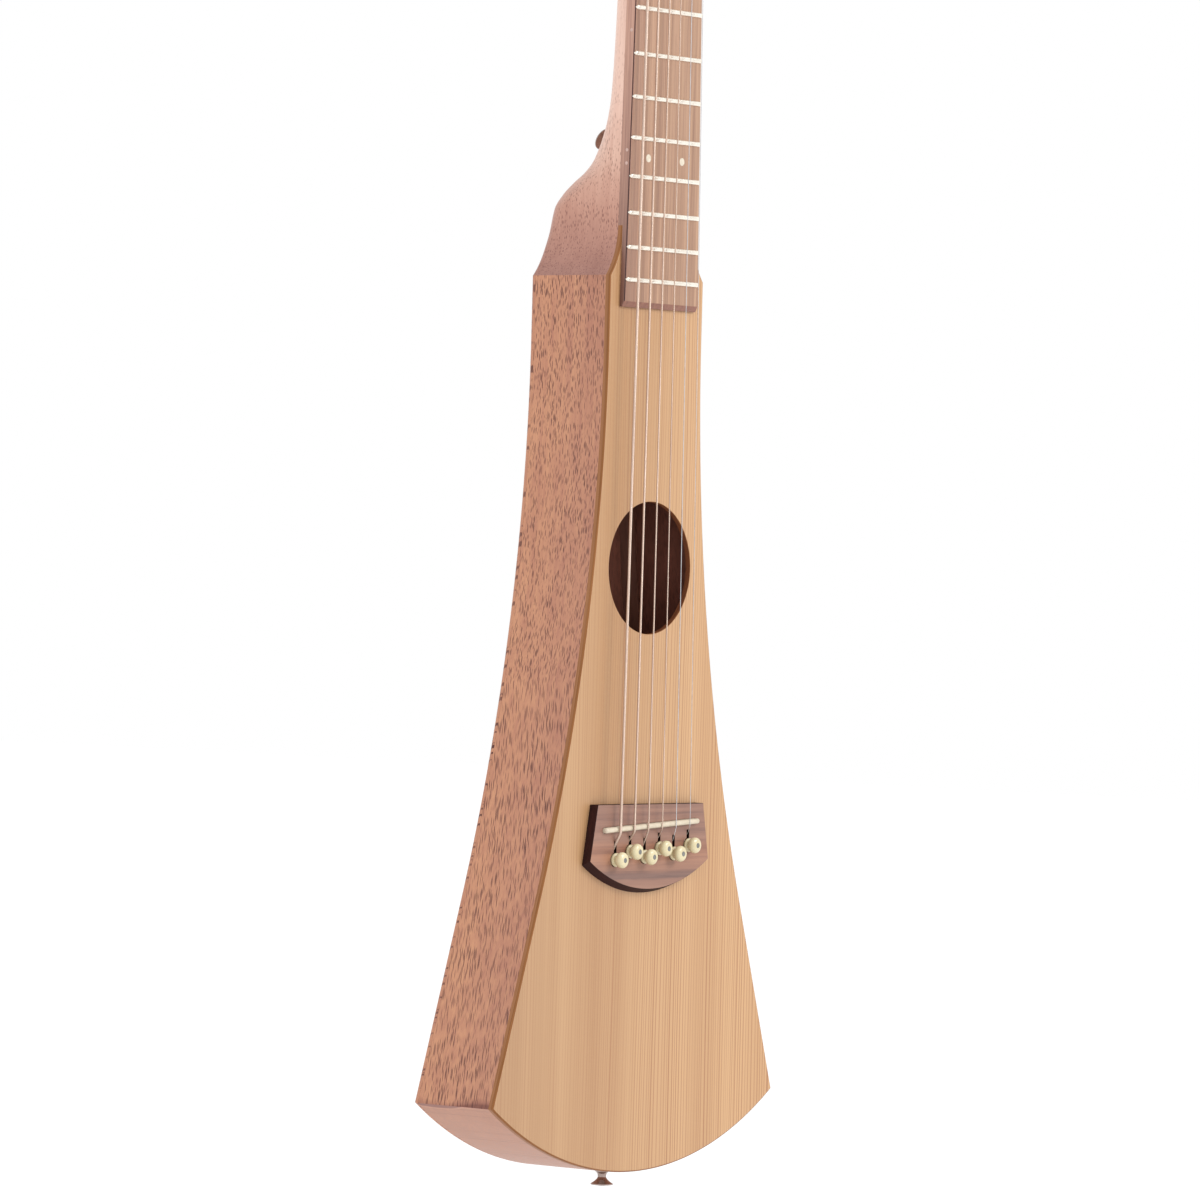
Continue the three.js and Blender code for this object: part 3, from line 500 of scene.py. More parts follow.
class Finish:
    """A procedural material, built node by node."""

    def __init__(self, name, roughness, metallic=0.0, coat=0.0, coat_roughness=0.2, gloss=0.5):
        self.material = bpy.data.materials.new(name)
        self.material.use_nodes = True
        self.tree = self.material.node_tree
        self.shader = self.tree.nodes["Principled BSDF"]
        self.feed(self.shader, {"Roughness": roughness, "Metallic": metallic, "Coat Weight": coat,
                                "Coat Roughness": coat_roughness, "Specular IOR Level": gloss})
        self.place = self.node("TexCoord", {}).outputs["Object"]

    def feed(self, node, inputs):
        """Sets the node's inputs to values, or links them to other nodes' outputs."""
        for name, value in inputs.items():
            if isinstance(value, bpy.types.NodeSocket):
                self.tree.links.new(value, node.inputs[name])
            else:
                node.inputs[name].default_value = value

    def node(self, kind, inputs, **settings):
        node = self.tree.nodes.new("ShaderNode" + kind)
        for name, value in settings.items():
            setattr(node, name, value)
        self.feed(node, inputs)
        return node

    def stretched(self, *sizes):
        """Coordinates counted in cells of these sizes across, in depth and up, in millimetres."""
        scale = [1 / (size * MM) for size in sizes]
        return self.node("Mapping", {"Vector": self.place, "Scale": scale}).outputs["Vector"]

    def noise(self, cells, detail=2.0, roughness=0.5, distortion=0.0):
        """Soft noise; cells are their sizes, or ready coordinates."""
        vector = self.stretched(*cells) if isinstance(cells, tuple) else cells
        inputs = {"Vector": vector, "Scale": 1.0, "Detail": detail, "Roughness": roughness}
        return self.node("TexNoise", {**inputs, "Distortion": distortion}).outputs["Fac"]

    def flat(self, first, second):
        """Two coordinates as one flat vector."""
        return self.node("CombineXYZ", {0: first, 1: second}).outputs["Vector"]

    def zoned(self, color, axis, zones, wobble):
        """The colour times tones that change along an axis."""
        waves = self.noise((30, 30, 30))
        place = self.plus(self.axis(axis), self.span(waves, 0.2, 0.8, -wobble * MM, wobble * MM))
        first, last = zones[0][0], zones[-1][0]
        stops = [((height - first) / (last - first), (*tone, 1.0)) for height, tone in zones]
        tones = self.ramp(self.span(place, first * MM, last * MM), *stops)
        return self.mixed(1.0, color, tones, "MULTIPLY")

    def cells(self, vector, dimensions):
        """Distance to the nearest of scattered points, and a random value for each."""
        points = self.node("TexVoronoi", {"Vector": vector, "Scale": 1.0}, voronoi_dimensions=dimensions)
        parts = self.node("SeparateColor", {"Color": points.outputs["Color"]})
        return points.outputs["Distance"], parts.outputs["Red"]

    def axis(self, name, vector=None):
        return self.node("SeparateXYZ", {"Vector": vector or self.place}).outputs[name]

    def calc(self, operation, first, second=0.5):
        return self.node("Math", {0: first, 1: second}, operation=operation).outputs["Value"]

    def plus(self, first, second):
        return self.calc("ADD", first, second)

    def times(self, first, second):
        return self.calc("MULTIPLY", first, second)

    def span(self, value, low, high, start=0.0, end=1.0):
        """Straight-line change from start to end while the value goes from low to high."""
        ends = {"From Min": low, "From Max": high, "To Min": start, "To Max": end}
        return self.node("MapRange", {"Value": value, **ends}).outputs["Result"]

    def ramp(self, value, *stops):
        node = self.node("ValToRGB", {"Fac": value})
        while len(node.color_ramp.elements) < len(stops):
            node.color_ramp.elements.new(0.5)
        for element, (place, color) in zip(node.color_ramp.elements, stops):
            element.position = place
            element.color = color
        return node.outputs["Color"]

    def mixed(self, share, first, second, blend="MIX"):
        inputs = {0: share, 6: first, 7: second}
        return self.node("Mix", inputs, data_type="RGBA", blend_type=blend).outputs[2]

    def bumped(self, height, depth, strength, under=None):
        """Relief of the given depth in millimetres; under is the relief below it."""
        inputs = {"Height": height, "Distance": depth * MM, "Strength": strength}
        if under:
            inputs["Normal"] = under
        return self.node("Bump", inputs).outputs["Normal"]

    def done(self, color, normal, roughness):
        self.feed(self.shader, {"Base Color": color, "Normal": normal, "Roughness": roughness})
        return self.material


def mahogany(name, light, dark, pore, run=DEPTH, size=(0.6, 5.0), pore_share=0.9, pore_reach=0.42,
             figure=0.4, coat=0.12, zones=(), depth_zones=(), pore_zone=None, lean=None):
    """Straight-grained wood along Z with dark open pores; run is the other axis of the face that shows,
    pore_zone thins the pores out, and lean slants and lengthens them towards its lower height."""
    finish = Finish(name, 0.5, coat=coat, coat_roughness=0.35)
    waves = finish.noise((9, 9, 42), 3.0, 0.6)
    streaks = finish.noise((1.6, 1.6, 40), 3.0, 0.6)
    tone = finish.plus(finish.times(waves, figure), finish.times(streaks, 1 - figure))
    base = finish.ramp(tone, (0.33, dark), (0.65, light))
    if zones:
        base = finish.zoned(base, UP, zones, 3)
    # Depth tones carry painted light that changes from the front edge to the back.
    if depth_zones:
        base = finish.zoned(base, DEPTH, depth_zones, 2)
    wander = finish.span(finish.noise((9, 9, 24)), 0, 1, 0, 0.25)
    grid = finish.stretched(size[0], size[0], size[1])
    if run:
        across, along = finish.axis(run, grid), finish.axis(UP, grid)
        if lean:
            low, high, drift, length = lean
            stretch = (high - low) * (1 / size[1] - 1 / length)
            ends = (finish.axis(UP), low * MM, high * MM)
            across = finish.plus(across, finish.span(*ends, drift / size[0], 0))
            along = finish.plus(along, finish.span(*ends, stretch, 0))
        grid = finish.flat(across, along)
    wavy = finish.node("VectorMath", {0: grid, 1: wander}, operation="ADD").outputs["Vector"]
    distance, chance = finish.cells(wavy, "2D" if run else "3D")
    reach = finish.span(chance, 1 - pore_share, 1.0, 0.08, pore_reach)
    hole = finish.span(finish.calc("SUBTRACT", reach, distance), -0.05, 0.11)
    hole = finish.times(hole, finish.span(finish.noise((14, 14, 50)), 0.3, 0.62, 0.62, 1.0))
    if pore_zone:
        low, high, least = pore_zone
        hole = finish.times(hole, finish.span(finish.axis(UP), low * MM, high * MM, 1.0, least))
    color = finish.mixed(hole, base, pore)
    relief = finish.bumped(finish.noise((0.35, 0.35, 9)), 0.03, 0.5)
    relief = finish.bumped(finish.calc("SUBTRACT", 1.0, hole), 0.06, 0.5, relief)
    return finish.done(color, relief, finish.span(streaks, 0.3, 0.7, 0.42, 0.56))


def spruce(name, light, dark, line, line_strength=1.0, zones=()):
    """Pale softwood with fine growth rings along Z, a little coarser towards the treble side."""
    finish = Finish(name, 0.42, coat=0.15, coat_roughness=0.3)
    bend = finish.span(finish.noise((60, 60, 420), 1.0), 0, 1, -6, 6)
    across = finish.plus(finish.calc("DIVIDE", finish.axis(ACROSS), MM), bend)
    spacing = finish.noise(finish.flat(finish.times(across, 0.11), 0.0), 3.0, 0.6)
    ring = finish.calc("FRACT", finish.plus(finish.times(across, 0.5), finish.times(spacing, 3.4)))
    late, early = finish.span(ring, 0.45, 0.93), finish.span(ring, 0.93, 1.0, 1.0, 0.0)
    grain = finish.times(finish.calc("POWER", late, 2.2), early)
    side = finish.span(finish.axis(ACROSS), -60 * MM, 60 * MM, 0.35, 1.0)
    patch = finish.span(finish.noise((9, 60, 260)), 0.3, 0.7, 0.35, 1.0)
    share = finish.times(finish.times(grain, side), finish.times(patch, line_strength))
    broad = finish.noise((24, 60, 900), 3.0, 0.55)
    silk = finish.span(finish.noise((5, 5, 1.3), 2.0, 0.6, 0.6), 0.5, 0.8, 0.0, 0.16)
    base = finish.mixed(silk, finish.ramp(broad, (0.32, dark), (0.66, light)), light)
    if zones:
        base = finish.zoned(base, ACROSS, zones, 4)
    color = finish.mixed(share, base, line)
    relief = finish.bumped(grain, 0.02, 0.35, finish.bumped(finish.noise((0.5, 0.5, 14)), 0.02, 0.4))
    return finish.done(color, relief, finish.span(broad, 0.3, 0.7, 0.36, 0.46))


def streaked(name, light, dark, vein, cells, roughness=0.42, coat=0.1, fine=(0.5, 0.5, 9), zones=(),
             axis=UP, gloss=0.5):
    """Dense brown hardwood; cells gives the streaks' size across, in depth and up."""
    finish = Finish(name, roughness, coat=coat, coat_roughness=0.3, gloss=gloss)
    base = finish.ramp(finish.noise(cells, 4.0, 0.6, 0.2), (0.32, dark), (0.66, light))
    narrow = finish.noise(tuple(size * 0.37 for size in cells), 3.0, 0.65)
    color = finish.mixed(finish.span(narrow, 0.52, 0.72, 0.0, 0.5), base, vein)
    grain = finish.noise(fine, 2.0, 0.6)
    color = finish.mixed(finish.span(grain, 0.55, 0.8, 0.0, 0.35), color, dark)
    if zones:
        color = finish.zoned(color, axis, zones, 0.8)
    worn = finish.span(grain, 0.2, 0.8, roughness - 0.05, roughness + 0.08)
    return finish.done(color, finish.bumped(grain, 0.04, 0.5), worn)


def mottled(name, light, dark, roughness, cell=6.0, coat=0.0, metallic=0.0, spread=0.06):
    """A nearly even surface, such as bone, plastic or plated metal, with soft clouds and fine wear."""
    finish = Finish(name, roughness, metallic=metallic, coat=coat, coat_roughness=0.08)
    color = finish.ramp(finish.noise((cell, cell, cell), 3.0), (0.3, dark), (0.7, light))
    fine = finish.noise((cell * 0.08, cell * 0.08, cell * 0.08), 3.0)
    worn = finish.span(fine, 0.3, 0.7, max(roughness - spread, 0.03), roughness + spread)
    return finish.done(color, finish.bumped(fine, 0.01, 0.4), worn)


def wrapped(name, light, dark, roughness):
    """Round-wound wire: the wrap's turns are counted along the mesh's own UV."""
    finish = Finish(name, roughness, metallic=1.0)
    uv = finish.node("UVMap", {}, uv_map="turns").outputs["UV"]
    part = finish.calc("FRACT", finish.plus(finish.axis("Y", uv), finish.axis("X", uv)))
    ridge = finish.calc("SINE", finish.times(part, math.pi))
    cloud = finish.noise((3, 3, 30))
    # Dark in the grooves between turns and light on each crest: painted shade and highlight along the wrap.
    color = finish.mixed(finish.span(ridge, 0.15, 0.7), dark, light)
    color = finish.mixed(finish.span(cloud, 0.35, 0.7, 0.0, 0.25), color, dark)
    worn = finish.span(cloud, 0.3, 0.7, roughness - 0.05, roughness + 0.1)
    return finish.done(color, finish.bumped(ridge, 0.08, 0.6), worn)


# Tones along an axis: places in millimetres, and what the colour is multiplied by there
heel_zones = [
    (421, (0.44, 0.3, 0.28)), (431, (0.5, 0.35, 0.32)), (452, (0.63, 0.47, 0.42)), (466, (0.75, 0.62, 0.57)),
    (480, (0.9, 0.84, 0.8)), (500, (1, 0.98, 0.97)), (523, (1, 1, 1)), (595, (1, 1, 1)),
    (680, (0.88, 0.8, 0.76)), (770, (0.8, 0.7, 0.65)), (925, (0.72, 0.6, 0.54)),
]
# Painted shade and light along the fingerboard's bass side: dark near its end over the body, lighter towards
# the nut.
board_side_shading = [
    (408, (0.46, 0.38, 0.38)), (440, (0.72, 0.64, 0.62)), (480, (1.08, 1.02, 1)), (540, (1.3, 1.26, 1.24)),
]
side_zones = [
    (side_end_z, (0.42, 0.3, 0.32)), (side_end_z + 0.9, (0.7, 0.62, 0.66)), (side_end_z + 3, (1, 1, 1)),
    (side_end_z + 40, (1, 1, 1)),
]
# Painted light across the sides' depth: darker towards the front edge, lighter towards the back.
side_depth_shading = [
    (-21, (0.93, 0.91, 0.94)), (-6, (0.98, 0.97, 0.99)), (12, (1.05, 1.05, 1.02)), (24, (1.08, 1.09, 1.06)),
]
# Towards the tail's corner with the sides: a thin painted highlight line, then darker at the corner itself.
tail_zones = [
    (0, (1, 1, 1)), (side_end_z - 1.6, (1, 1, 1)), (side_end_z - 0.9, (1.2, 1.2, 1.25)),
    (side_end_z - 0.2, (0.6, 0.5, 0.55)),
]
# Painted shade across the top: darker towards the bass side, a little lighter towards the treble side.
top_shading = [
    (-105, (0.84, 0.83, 0.84)), (-40, (0.92, 0.91, 0.9)), (20, (1, 1, 1)), (105, (1.06, 1.07, 1.06)),
]
# Painted shade on the fingerboard's face: darker and mauve along its bass edge.
board_edge_shading = [(-27, (0.84, 0.78, 0.86)), (-14, (0.98, 0.96, 0.98)), (27, (1, 1, 1))]
# Bands across the bridge by height: painted shade in a grey stripe below the pins, between the pins and the
# saddle, and near the top edge, with a warmer band across the pins.
bridge_bands_and_shade = [
    (132, (1, 1, 1)), (137.8, (1, 0.98, 0.98)), (139.2, (0.6, 0.62, 0.7)), (141, (0.62, 0.62, 0.7)),
    (142.6, (1, 0.96, 0.92)), (147, (1.06, 0.99, 0.92)), (153, (1.1, 0.97, 0.86)),
    (158, (0.88, 0.87, 0.9)), (167, (0.96, 0.95, 0.97)), (174, (0.84, 0.83, 0.86)),
]
side_tones = tint(196, 139, 105), tint(172, 114, 90), tint(78, 26, 16)
side_wood = mahogany("side_wood", *side_tones, zones=side_zones, depth_zones=side_depth_shading,
                     lean=(20, 230, 28, 8.5))
back_wood = mahogany("back_wood", *side_tones, run=ACROSS)
neck_wood = mahogany("neck_wood", tint(237, 201, 183), tint(216, 174, 156), tint(112, 62, 50), run=None,
                     size=(0.5, 2.4), pore_share=1.0, pore_reach=0.44, zones=heel_zones,
                     pore_zone=(468, 545, 0.25), coat=0.3)
tail_wood = mahogany("tail_wood", tint(183, 132, 108), tint(168, 118, 95), tint(138, 90, 72), run=ACROSS,
                     size=(1.4, 1.8), pore_share=0.6, pore_reach=0.26, figure=0.25, zones=tail_zones)
# Inside the body the woods are darker copies of the outside ones: painted shade, lighter on the back, which
# faces the sound hole.
inner_mahogany = mahogany("inner_mahogany", tint(138, 86, 70), tint(118, 72, 58), tint(102, 62, 50))
back_inside = mahogany("back_inside", tint(164, 103, 84), tint(142, 87, 71), tint(122, 75, 60), run=ACROSS)
top_wood = spruce("top_wood", tint(193, 152, 110), tint(178, 135, 94), tint(150, 98, 60), 1.5, top_shading)
# Spruce inside the body, for the top's underside, the brace and the bridge plate: painted shade, much darker
# than the top.
inner_wood = spruce("inner_wood", tint(112, 78, 60), tint(92, 62, 48), tint(66, 44, 34), 0.6)
edge_wood = streaked("edge_wood", tint(160, 110, 72), tint(140, 92, 58), tint(124, 80, 48), (8, 0.5, 60),
                     coat=0.0, gloss=0.2)
# Darker wood on the top's rounded front edge: painted shade along that edge.
corner_wood = streaked("corner_wood", tint(148, 98, 58), tint(128, 82, 46), tint(110, 70, 40), (8, 0.5, 60),
                       coat=0.0, gloss=0.15)
# Darker wood on the sound hole's cut wall: partly the cut grain's own colour, partly painted shade inside the
# hole.
hole_wood = streaked("hole_wood", tint(136, 82, 52), tint(108, 62, 40), tint(88, 50, 32), (8, 0.5, 60),
                     gloss=0.2)
# Linings: painted shade, darkest on the front linings under the top.
lining_wood = streaked("lining_wood", tint(92, 58, 46), tint(78, 48, 38), tint(64, 38, 30), (2, 2, 60),
                       coat=0.0, gloss=0.15)
back_lining_wood = streaked("back_lining_wood", tint(128, 82, 65), tint(112, 70, 56), tint(94, 58, 46),
                            (2, 2, 60), coat=0.0, gloss=0.15)
board_wood = streaked("board_wood", tint(184, 146, 117), tint(148, 111, 88), tint(120, 84, 68),
                      (1.7, 20, 160), zones=board_edge_shading, axis=ACROSS)
board_side = streaked("board_side", tint(178, 140, 122), tint(148, 111, 98), tint(116, 80, 70),
                      (20, 1.4, 60), zones=board_side_shading)
# Near-black wood on the fingerboard's rounded long edges: a painted shadow line along the board's edge.
board_rim_painted_shade = streaked("board_rim_painted_shade", tint(78, 46, 42), tint(60, 35, 32), tint(48, 28, 26), (20, 2.0, 60),
                     gloss=0.25)
board_end = streaked("board_end", tint(144, 97, 78), tint(124, 79, 64), tint(100, 62, 52), (2, 2, 20))
bridge_wood = streaked("bridge_wood", tint(157, 117, 97), tint(132, 95, 80), tint(100, 72, 66),
                       (160, 20, 4.2), fine=(9, 0.5, 0.5), zones=bridge_bands_and_shade)
# Near-black wood on all the bridge's walls: partly the rosewood's darker end grain, partly painted shade.
bridge_side = streaked("bridge_side", tint(56, 27, 24), tint(40, 19, 18), tint(32, 14, 14), (60, 1.2, 6.0),
                       roughness=0.6, coat=0.0, fine=(9, 0.5, 0.5), gloss=0.15)
# Near-black wood inside the string slots behind the pins: painted shade in the recesses.
slot_painted_shade = streaked("slot_painted_shade", tint(30, 16, 15), tint(22, 12, 11), tint(16, 8, 8), (20, 2, 5),
                     roughness=0.7, coat=0.0, gloss=0.1)
nut_bone = mottled("nut_bone", tint(238, 230, 212), tint(226, 214, 190), 0.3, coat=0.3)
saddle_bone = mottled("saddle_bone", tint(216, 204, 182), tint(196, 182, 158), 0.32, coat=0.2)
pin_ivory = mottled("pin_ivory", tint(216, 204, 166), tint(202, 188, 148), 0.28, coat=0.35)
pin_dot = mottled("pin_dot", tint(120, 120, 116), tint(96, 96, 92), 0.3, 1.0, coat=0.3)
pearl_dot = mottled("pearl_dot", tint(224, 214, 194), tint(208, 196, 174), 0.25, 1.6, coat=0.4)
side_dot = mottled("side_dot", tint(208, 176, 164), tint(190, 158, 146), 0.35, 1.6, coat=0.2)
fret_silver = mottled("fret_silver", tint(250, 244, 232), tint(238, 230, 216), 0.26, 9, metallic=1.0)
chrome = mottled("chrome", tint(214, 212, 212), tint(202, 200, 202), 0.1, 14, metallic=1.0, spread=0.03)
# Brownish plated metal for the end pin and strap button: a painted reflection of the surrounding wood.
button_metal_brown_reflection = mottled("button_metal_brown_reflection", tint(176, 158, 150), tint(150, 132, 124), 0.14, 5, metallic=1.0,
                       spread=0.03)
wound_bronze = wrapped("wound_bronze", tint(220, 198, 182), tint(176, 150, 134), 0.42)
plain_steel = mottled("plain_steel", tint(222, 222, 224), tint(200, 200, 204), 0.22, 2, metallic=1.0)
dull_steel = mottled("dull_steel", tint(150, 150, 154), tint(124, 124, 130), 0.4, 3, metallic=1.0)
pale_floor = mottled("pale_floor", tint(170, 170, 172), tint(166, 167, 170), 0.8, 400)
floor_glow = pale_floor.node_tree.nodes["Principled BSDF"].inputs
floor_glow["Emission Color"].default_value = (1.0, 1.0, 1.0, 1.0)
floor_glow["Emission Strength"].default_value = floor_shine


# Outlines shared by several pieces, as (x, z)

def fret_z(number):
    return nut_z - scale_length * (1 - 2 ** (-number / 12))


def mid_fret(number):
    return (fret_z(number) + fret_z(number - 1)) / 2


def board_half_width(z):
    growth = (board_width_at_twelfth - board_width_at_nut) / (nut_z - fret_z(12))
    return (board_width_at_nut + growth * (nut_z - z)) / 2


def flare_point(angle, inset):
    radius = flare_radius + inset
    return at(upper_half_width + flare_radius - radius * math.cos(angle),
              joint_z - straight_side_length - radius * math.sin(angle))


def tail_corner():
    start = flare_point(flare_angle, 0)
    run = at(math.sin(flare_angle), -math.cos(flare_angle))
    from_centre = start - at(0, tail_radius)
    along = from_centre.dot(run)
    return start + run * (math.sqrt(along ** 2 - from_centre.length_squared + tail_radius ** 2) - along)


corner = tail_corner()


def body_edge(inset, steps=48):
    """Treble edge of the body from the heel joint down to the height of the tail corner."""
    points = [flare_point(flare_angle * i / steps, inset) for i in range(steps + 1)]
    end = points[-1]
    last = at(end.x + (end.y - corner.y) * math.tan(flare_angle), corner.y)
    return [at(upper_half_width - inset, joint_z), *points, last]


def tail_arc(inset, steps=72):
    """The tail's arc from the treble side to the bass side."""
    radius = tail_radius - inset
    reach = math.acos((tail_radius - corner.y) / radius)
    angles = [reach * (1 - 2 * i / steps) for i in range(steps + 1)]
    return [at(radius * math.sin(a), tail_radius - radius * math.cos(a)) for a in angles]


def shoulder_half_width(z):
    """Half width where the heel swells out from the fingerboard to the body."""
    if z >= tongue_z:
        return board_half_width(z)
    start = board_half_width(tongue_z)
    length, growth = tongue_z - joint_z, upper_half_width - start
    radius = (length ** 2 + growth ** 2) / (2 * growth)
    return start + radius - math.sqrt(radius ** 2 - (tongue_z - z) ** 2)


def shoulder_edge(steps=16):
    stops = [tongue_z - (tongue_z - joint_z) * i / steps for i in range(steps + 1)]
    return [at(shoulder_half_width(z), z) for z in stops]


def saddle_line(x):
    return saddle_z + x * saddle_slant / saddle_length


def across_at(spread, number):
    return spread * (number - (STRING_COUNT - 1) / 2) / (STRING_COUNT - 1)


def pin_place(number):
    x = pins_middle + across_at(pin_spread, number)
    return at(x, saddle_line(x) - pin_rows[number % 2])


def string_from_pin(number):
    return pin_shank_radius + rest_gap + string_diameters[number] / 2


def label(number):
    """Strings, pins and tuners are numbered from the treble side, as players count them."""
    return STRING_COUNT - number


def pin_hole_cuts(front, back):
    rods, slots = [], []
    for number in strings:
        pin, half = pin_place(number), pin_slot_width / 2
        reach = string_from_pin(number) + string_diameters[number] / 2 + rest_gap
        rods.append(rod_y(pin_shank_radius + rest_gap, front, back, pin.x, pin.y))
        slots.append(box_shape((pin.x - half, front, pin.y), (pin.x + half, back, pin.y + reach)))
    return merged(rods), merged(slots)


def cross(reach, half, low, high):
    """Two crossed bars that cut a screw's slots."""
    return [box_shape((-x, low, -z), (x, high, z)) for x, z in ((reach, half), (half, reach))]


# Body

def make_soundboard():
    right = shoulder_edge()[:-1] + body_edge(0)[:-1]
    outline = right + tail_arc(0) + mirrored(right)
    shares = [min(1, max(0, (tongue_z - point[1]) / tongue_fade)) for point in outline]
    flare = [(sound_hole_radius + inset, front_y + drop) for inset, drop in rounding(hole_edge_round, 4)]
    flare = [(flare[0][0], front_y - overrun), *flare, (sound_hole_radius, neck_flat_y + overrun)]
    hole = moved(turned(flare, 128), shift(0, 0, sound_hole_z))

    def rule(centre, normal):
        from_hole = math.hypot(centre.x, centre.z - sound_hole_z)
        if from_hole < sound_hole_radius + 2 * hole_edge_round and abs(normal.y) < 0.3:
            return 4
        # The top's underside takes the shaded inner spruce.
        if centre.y > neck_flat_y - 0.05:
            return 3
        if abs(normal.y) > 0.9:
            return 0
        # The rounded front edge takes the painted shade; the flat cut edge takes the edge wood.
        return 2 if centre.y < front_y + top_edge_round else 1

    piece("soundboard_spruce", slab(outline, front_y, neck_flat_y, top_edge_round, 0, shares, 5),
          top_wood, "spruce_top", "soundboard",
          cuts=(hole, *pin_hole_cuts(front_y - overrun, neck_flat_y + overrun)),
          others=(edge_wood, corner_wood, inner_wood, hole_wood), rule=rule)


def make_back_plate():
    right = body_edge(0)[:-1]
    plate = slab(right + tail_arc(0) + mirrored(right), inner_back_y, back_y, seam_round, back_edge_round,
                 steps=6, flush_z=joint_z)
    piece("back_mahogany", plate, back_wood, "mahogany", "back_plate", others=(back_inside,),
          rule=lambda centre, normal: int(normal.y < -0.9))


def make_side(sign, node):
    outline = body_edge(0) + body_edge(side_thickness)[::-1]
    outline = [at(sign * point[0], point[1]) for point in outline]
    piece(f"{node}_mahogany", slab(outline, neck_flat_y, inner_back_y, seam_round, seam_round, steps=2),
          side_wood, "mahogany", node, others=(inner_mahogany,),
          rule=lambda centre, normal: int(sign * normal.x < -0.5))


def make_tail_block():
    outline = tail_arc(0) + tail_arc(tail_block_thickness)[::-1]
    screw = rod_y(strap_screw_radius + rest_gap, -overrun, strap_screw_length + rest_gap)
    piece("tail_block_mahogany", slab(outline, neck_flat_y, inner_back_y, seam_round, seam_round, steps=2),
          tail_wood, "tail_wood", "tail_block", others=(inner_mahogany,),
          cuts=[moved(screw, shift(0, -end_pin_forward, 0) @ spin(QUARTER, ACROSS))],
          rule=lambda centre, normal: int(normal.z > 0.5))


def make_lining(sign, name, near_y, far_y, material):
    """Strip with a slanted face that glues a plate to the side."""
    low = corner.y + tail_block_thickness + lining_from_tail_block
    high = joint_z - straight_side_length - lining_from_neck_block
    profile = [(0, near_y), (0, far_y), (1, far_y), (lining_width, near_y)]
    rings = [[at(sign * (point.x - inset), y, point.y) for inset, y in profile]
             for point in body_edge(side_thickness) if low < point.y < high]
    piece(name, lofted(rings), material, "inner_wood")


# Shares of the brace's half length, with the share of its height there
brace_scoop = [(-1, 0.3), (-0.9, 0.36), (-0.75, 0.8), (-0.6, 1), (0.6, 1), (0.75, 0.8), (0.9, 0.36), (1, 0.3)]


def make_inner_pieces():
    """Linings, the brace and the bridge plate with rounded edges, and the truss rod's metal."""
    for sign, side in ((-1, "bass"), (1, "treble")):
        make_lining(sign, f"front_lining_{side}", neck_flat_y, neck_flat_y + lining_depth, lining_wood)
        make_lining(sign, f"back_lining_{side}", inner_back_y, inner_back_y - lining_depth, back_lining_wood)
    low, high = node_box("top_brace")
    middle, crest = (low.z + high.z) / 2, high.y - 0.5
    profile = [(low.z, low.y), (low.z, low.y + brace_foot), (middle - brace_crest, crest), (middle, high.y),
               (middle + brace_crest, crest), (high.z, low.y + brace_foot), (high.z, low.y)]
    brace = lofted([[at(high.x * place, low.y + (y - low.y) * share, z) for z, y in profile]
                    for place, share in brace_scoop])
    piece("top_brace_spruce", brace, inner_wood, "inner_wood", "top_brace")
    low, high = node_box("bridge_plate")
    outline = [at(high.x, high.z), at(high.x, low.z), at(low.x, low.z), at(low.x, high.z)]
    piece("bridge_plate_maple", slab(outline, low.y, high.y, 0, plate_round), inner_wood, "inner_wood",
          "bridge_plate", cuts=pin_hole_cuts(low.y - overrun, high.y + overrun))
    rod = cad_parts["truss_rod"]
    rod.data.materials.clear()
    rod.data.materials.append(dull_steel)


# Shares of the heel's length from its upper end, with the share of its growth in depth there
heel_depth_shares = [
    (0, 0), (0.134, 0.024), (0.253, 0.054), (0.34, 0.094), (0.42, 0.18), (0.517, 0.37), (0.564, 0.503),
    (0.61, 0.636), (0.644, 0.776), (0.69, 0.912), (0.742, 0.984), (0.81, 1), (1, 1),
]
# The same, with the share of the section's half width that its rounded corner takes
heel_round_width_shares = [
    (0, 1), (0.56, 1), (0.61, 0.86), (0.644, 0.72), (0.69, 0.56), (0.742, 0.42), (0.81, 0.32), (0.9, 0.16),
    (1, 0.06),
]
# The same, with the share of the section's depth that its rounded corner takes
heel_round_depth_shares = [
    (0, 0.96), (0.56, 0.96), (0.61, 0.84), (0.644, 0.7), (0.69, 0.48), (0.742, 0.28), (0.81, 0.2), (0.9, 0.1),
    (1, 0.05),
]
# Shares of the headstock's length, with the share of its growth in width there
head_width_shares = [
    (0, 0), (0.05, 0.03), (0.1, 0.26), (0.15, 0.64), (0.2, 0.82), (0.5, 0.91), (0.92, 1), (0.96, 0.93),
    (0.985, 0.74), (1, 0.42),
]
# The same, with how far its corners are rounded like the neck's
head_round_shares = [(0, 0.9), (0.05, 0.6), (0.1, 0.3), (0.15, 0.1), (0.2, 0), (1, 0)]

head_matrix = shift(0, neck_flat_y, nut_z + nut_thickness) @ spin(-head_angle, ACROSS)


# Neck, heel and headstock

def section(half_width, depth, round_width, round_depth, face_round, place):
    """One cross section: flat in front, rounded corners behind."""
    half = [(half_width - inset, drop) for inset, drop in rounding(face_round, 3)]
    half += [(half_width - round_width * drop, depth - round_depth * inset)
             for inset, drop in rounding(1, 16)]
    return [place(x, y) for x, y in half + [(-x, y) for x, y in reversed(half)]]


def neck_section(z, depth, round_width_share, round_depth_share):
    half_width = shoulder_half_width(min(z, nut_z))
    return section(half_width, depth, round_width_share * (half_width - rest_gap), round_depth_share * depth,
                   0.02, lambda x, y: at(x, neck_flat_y + y, z))


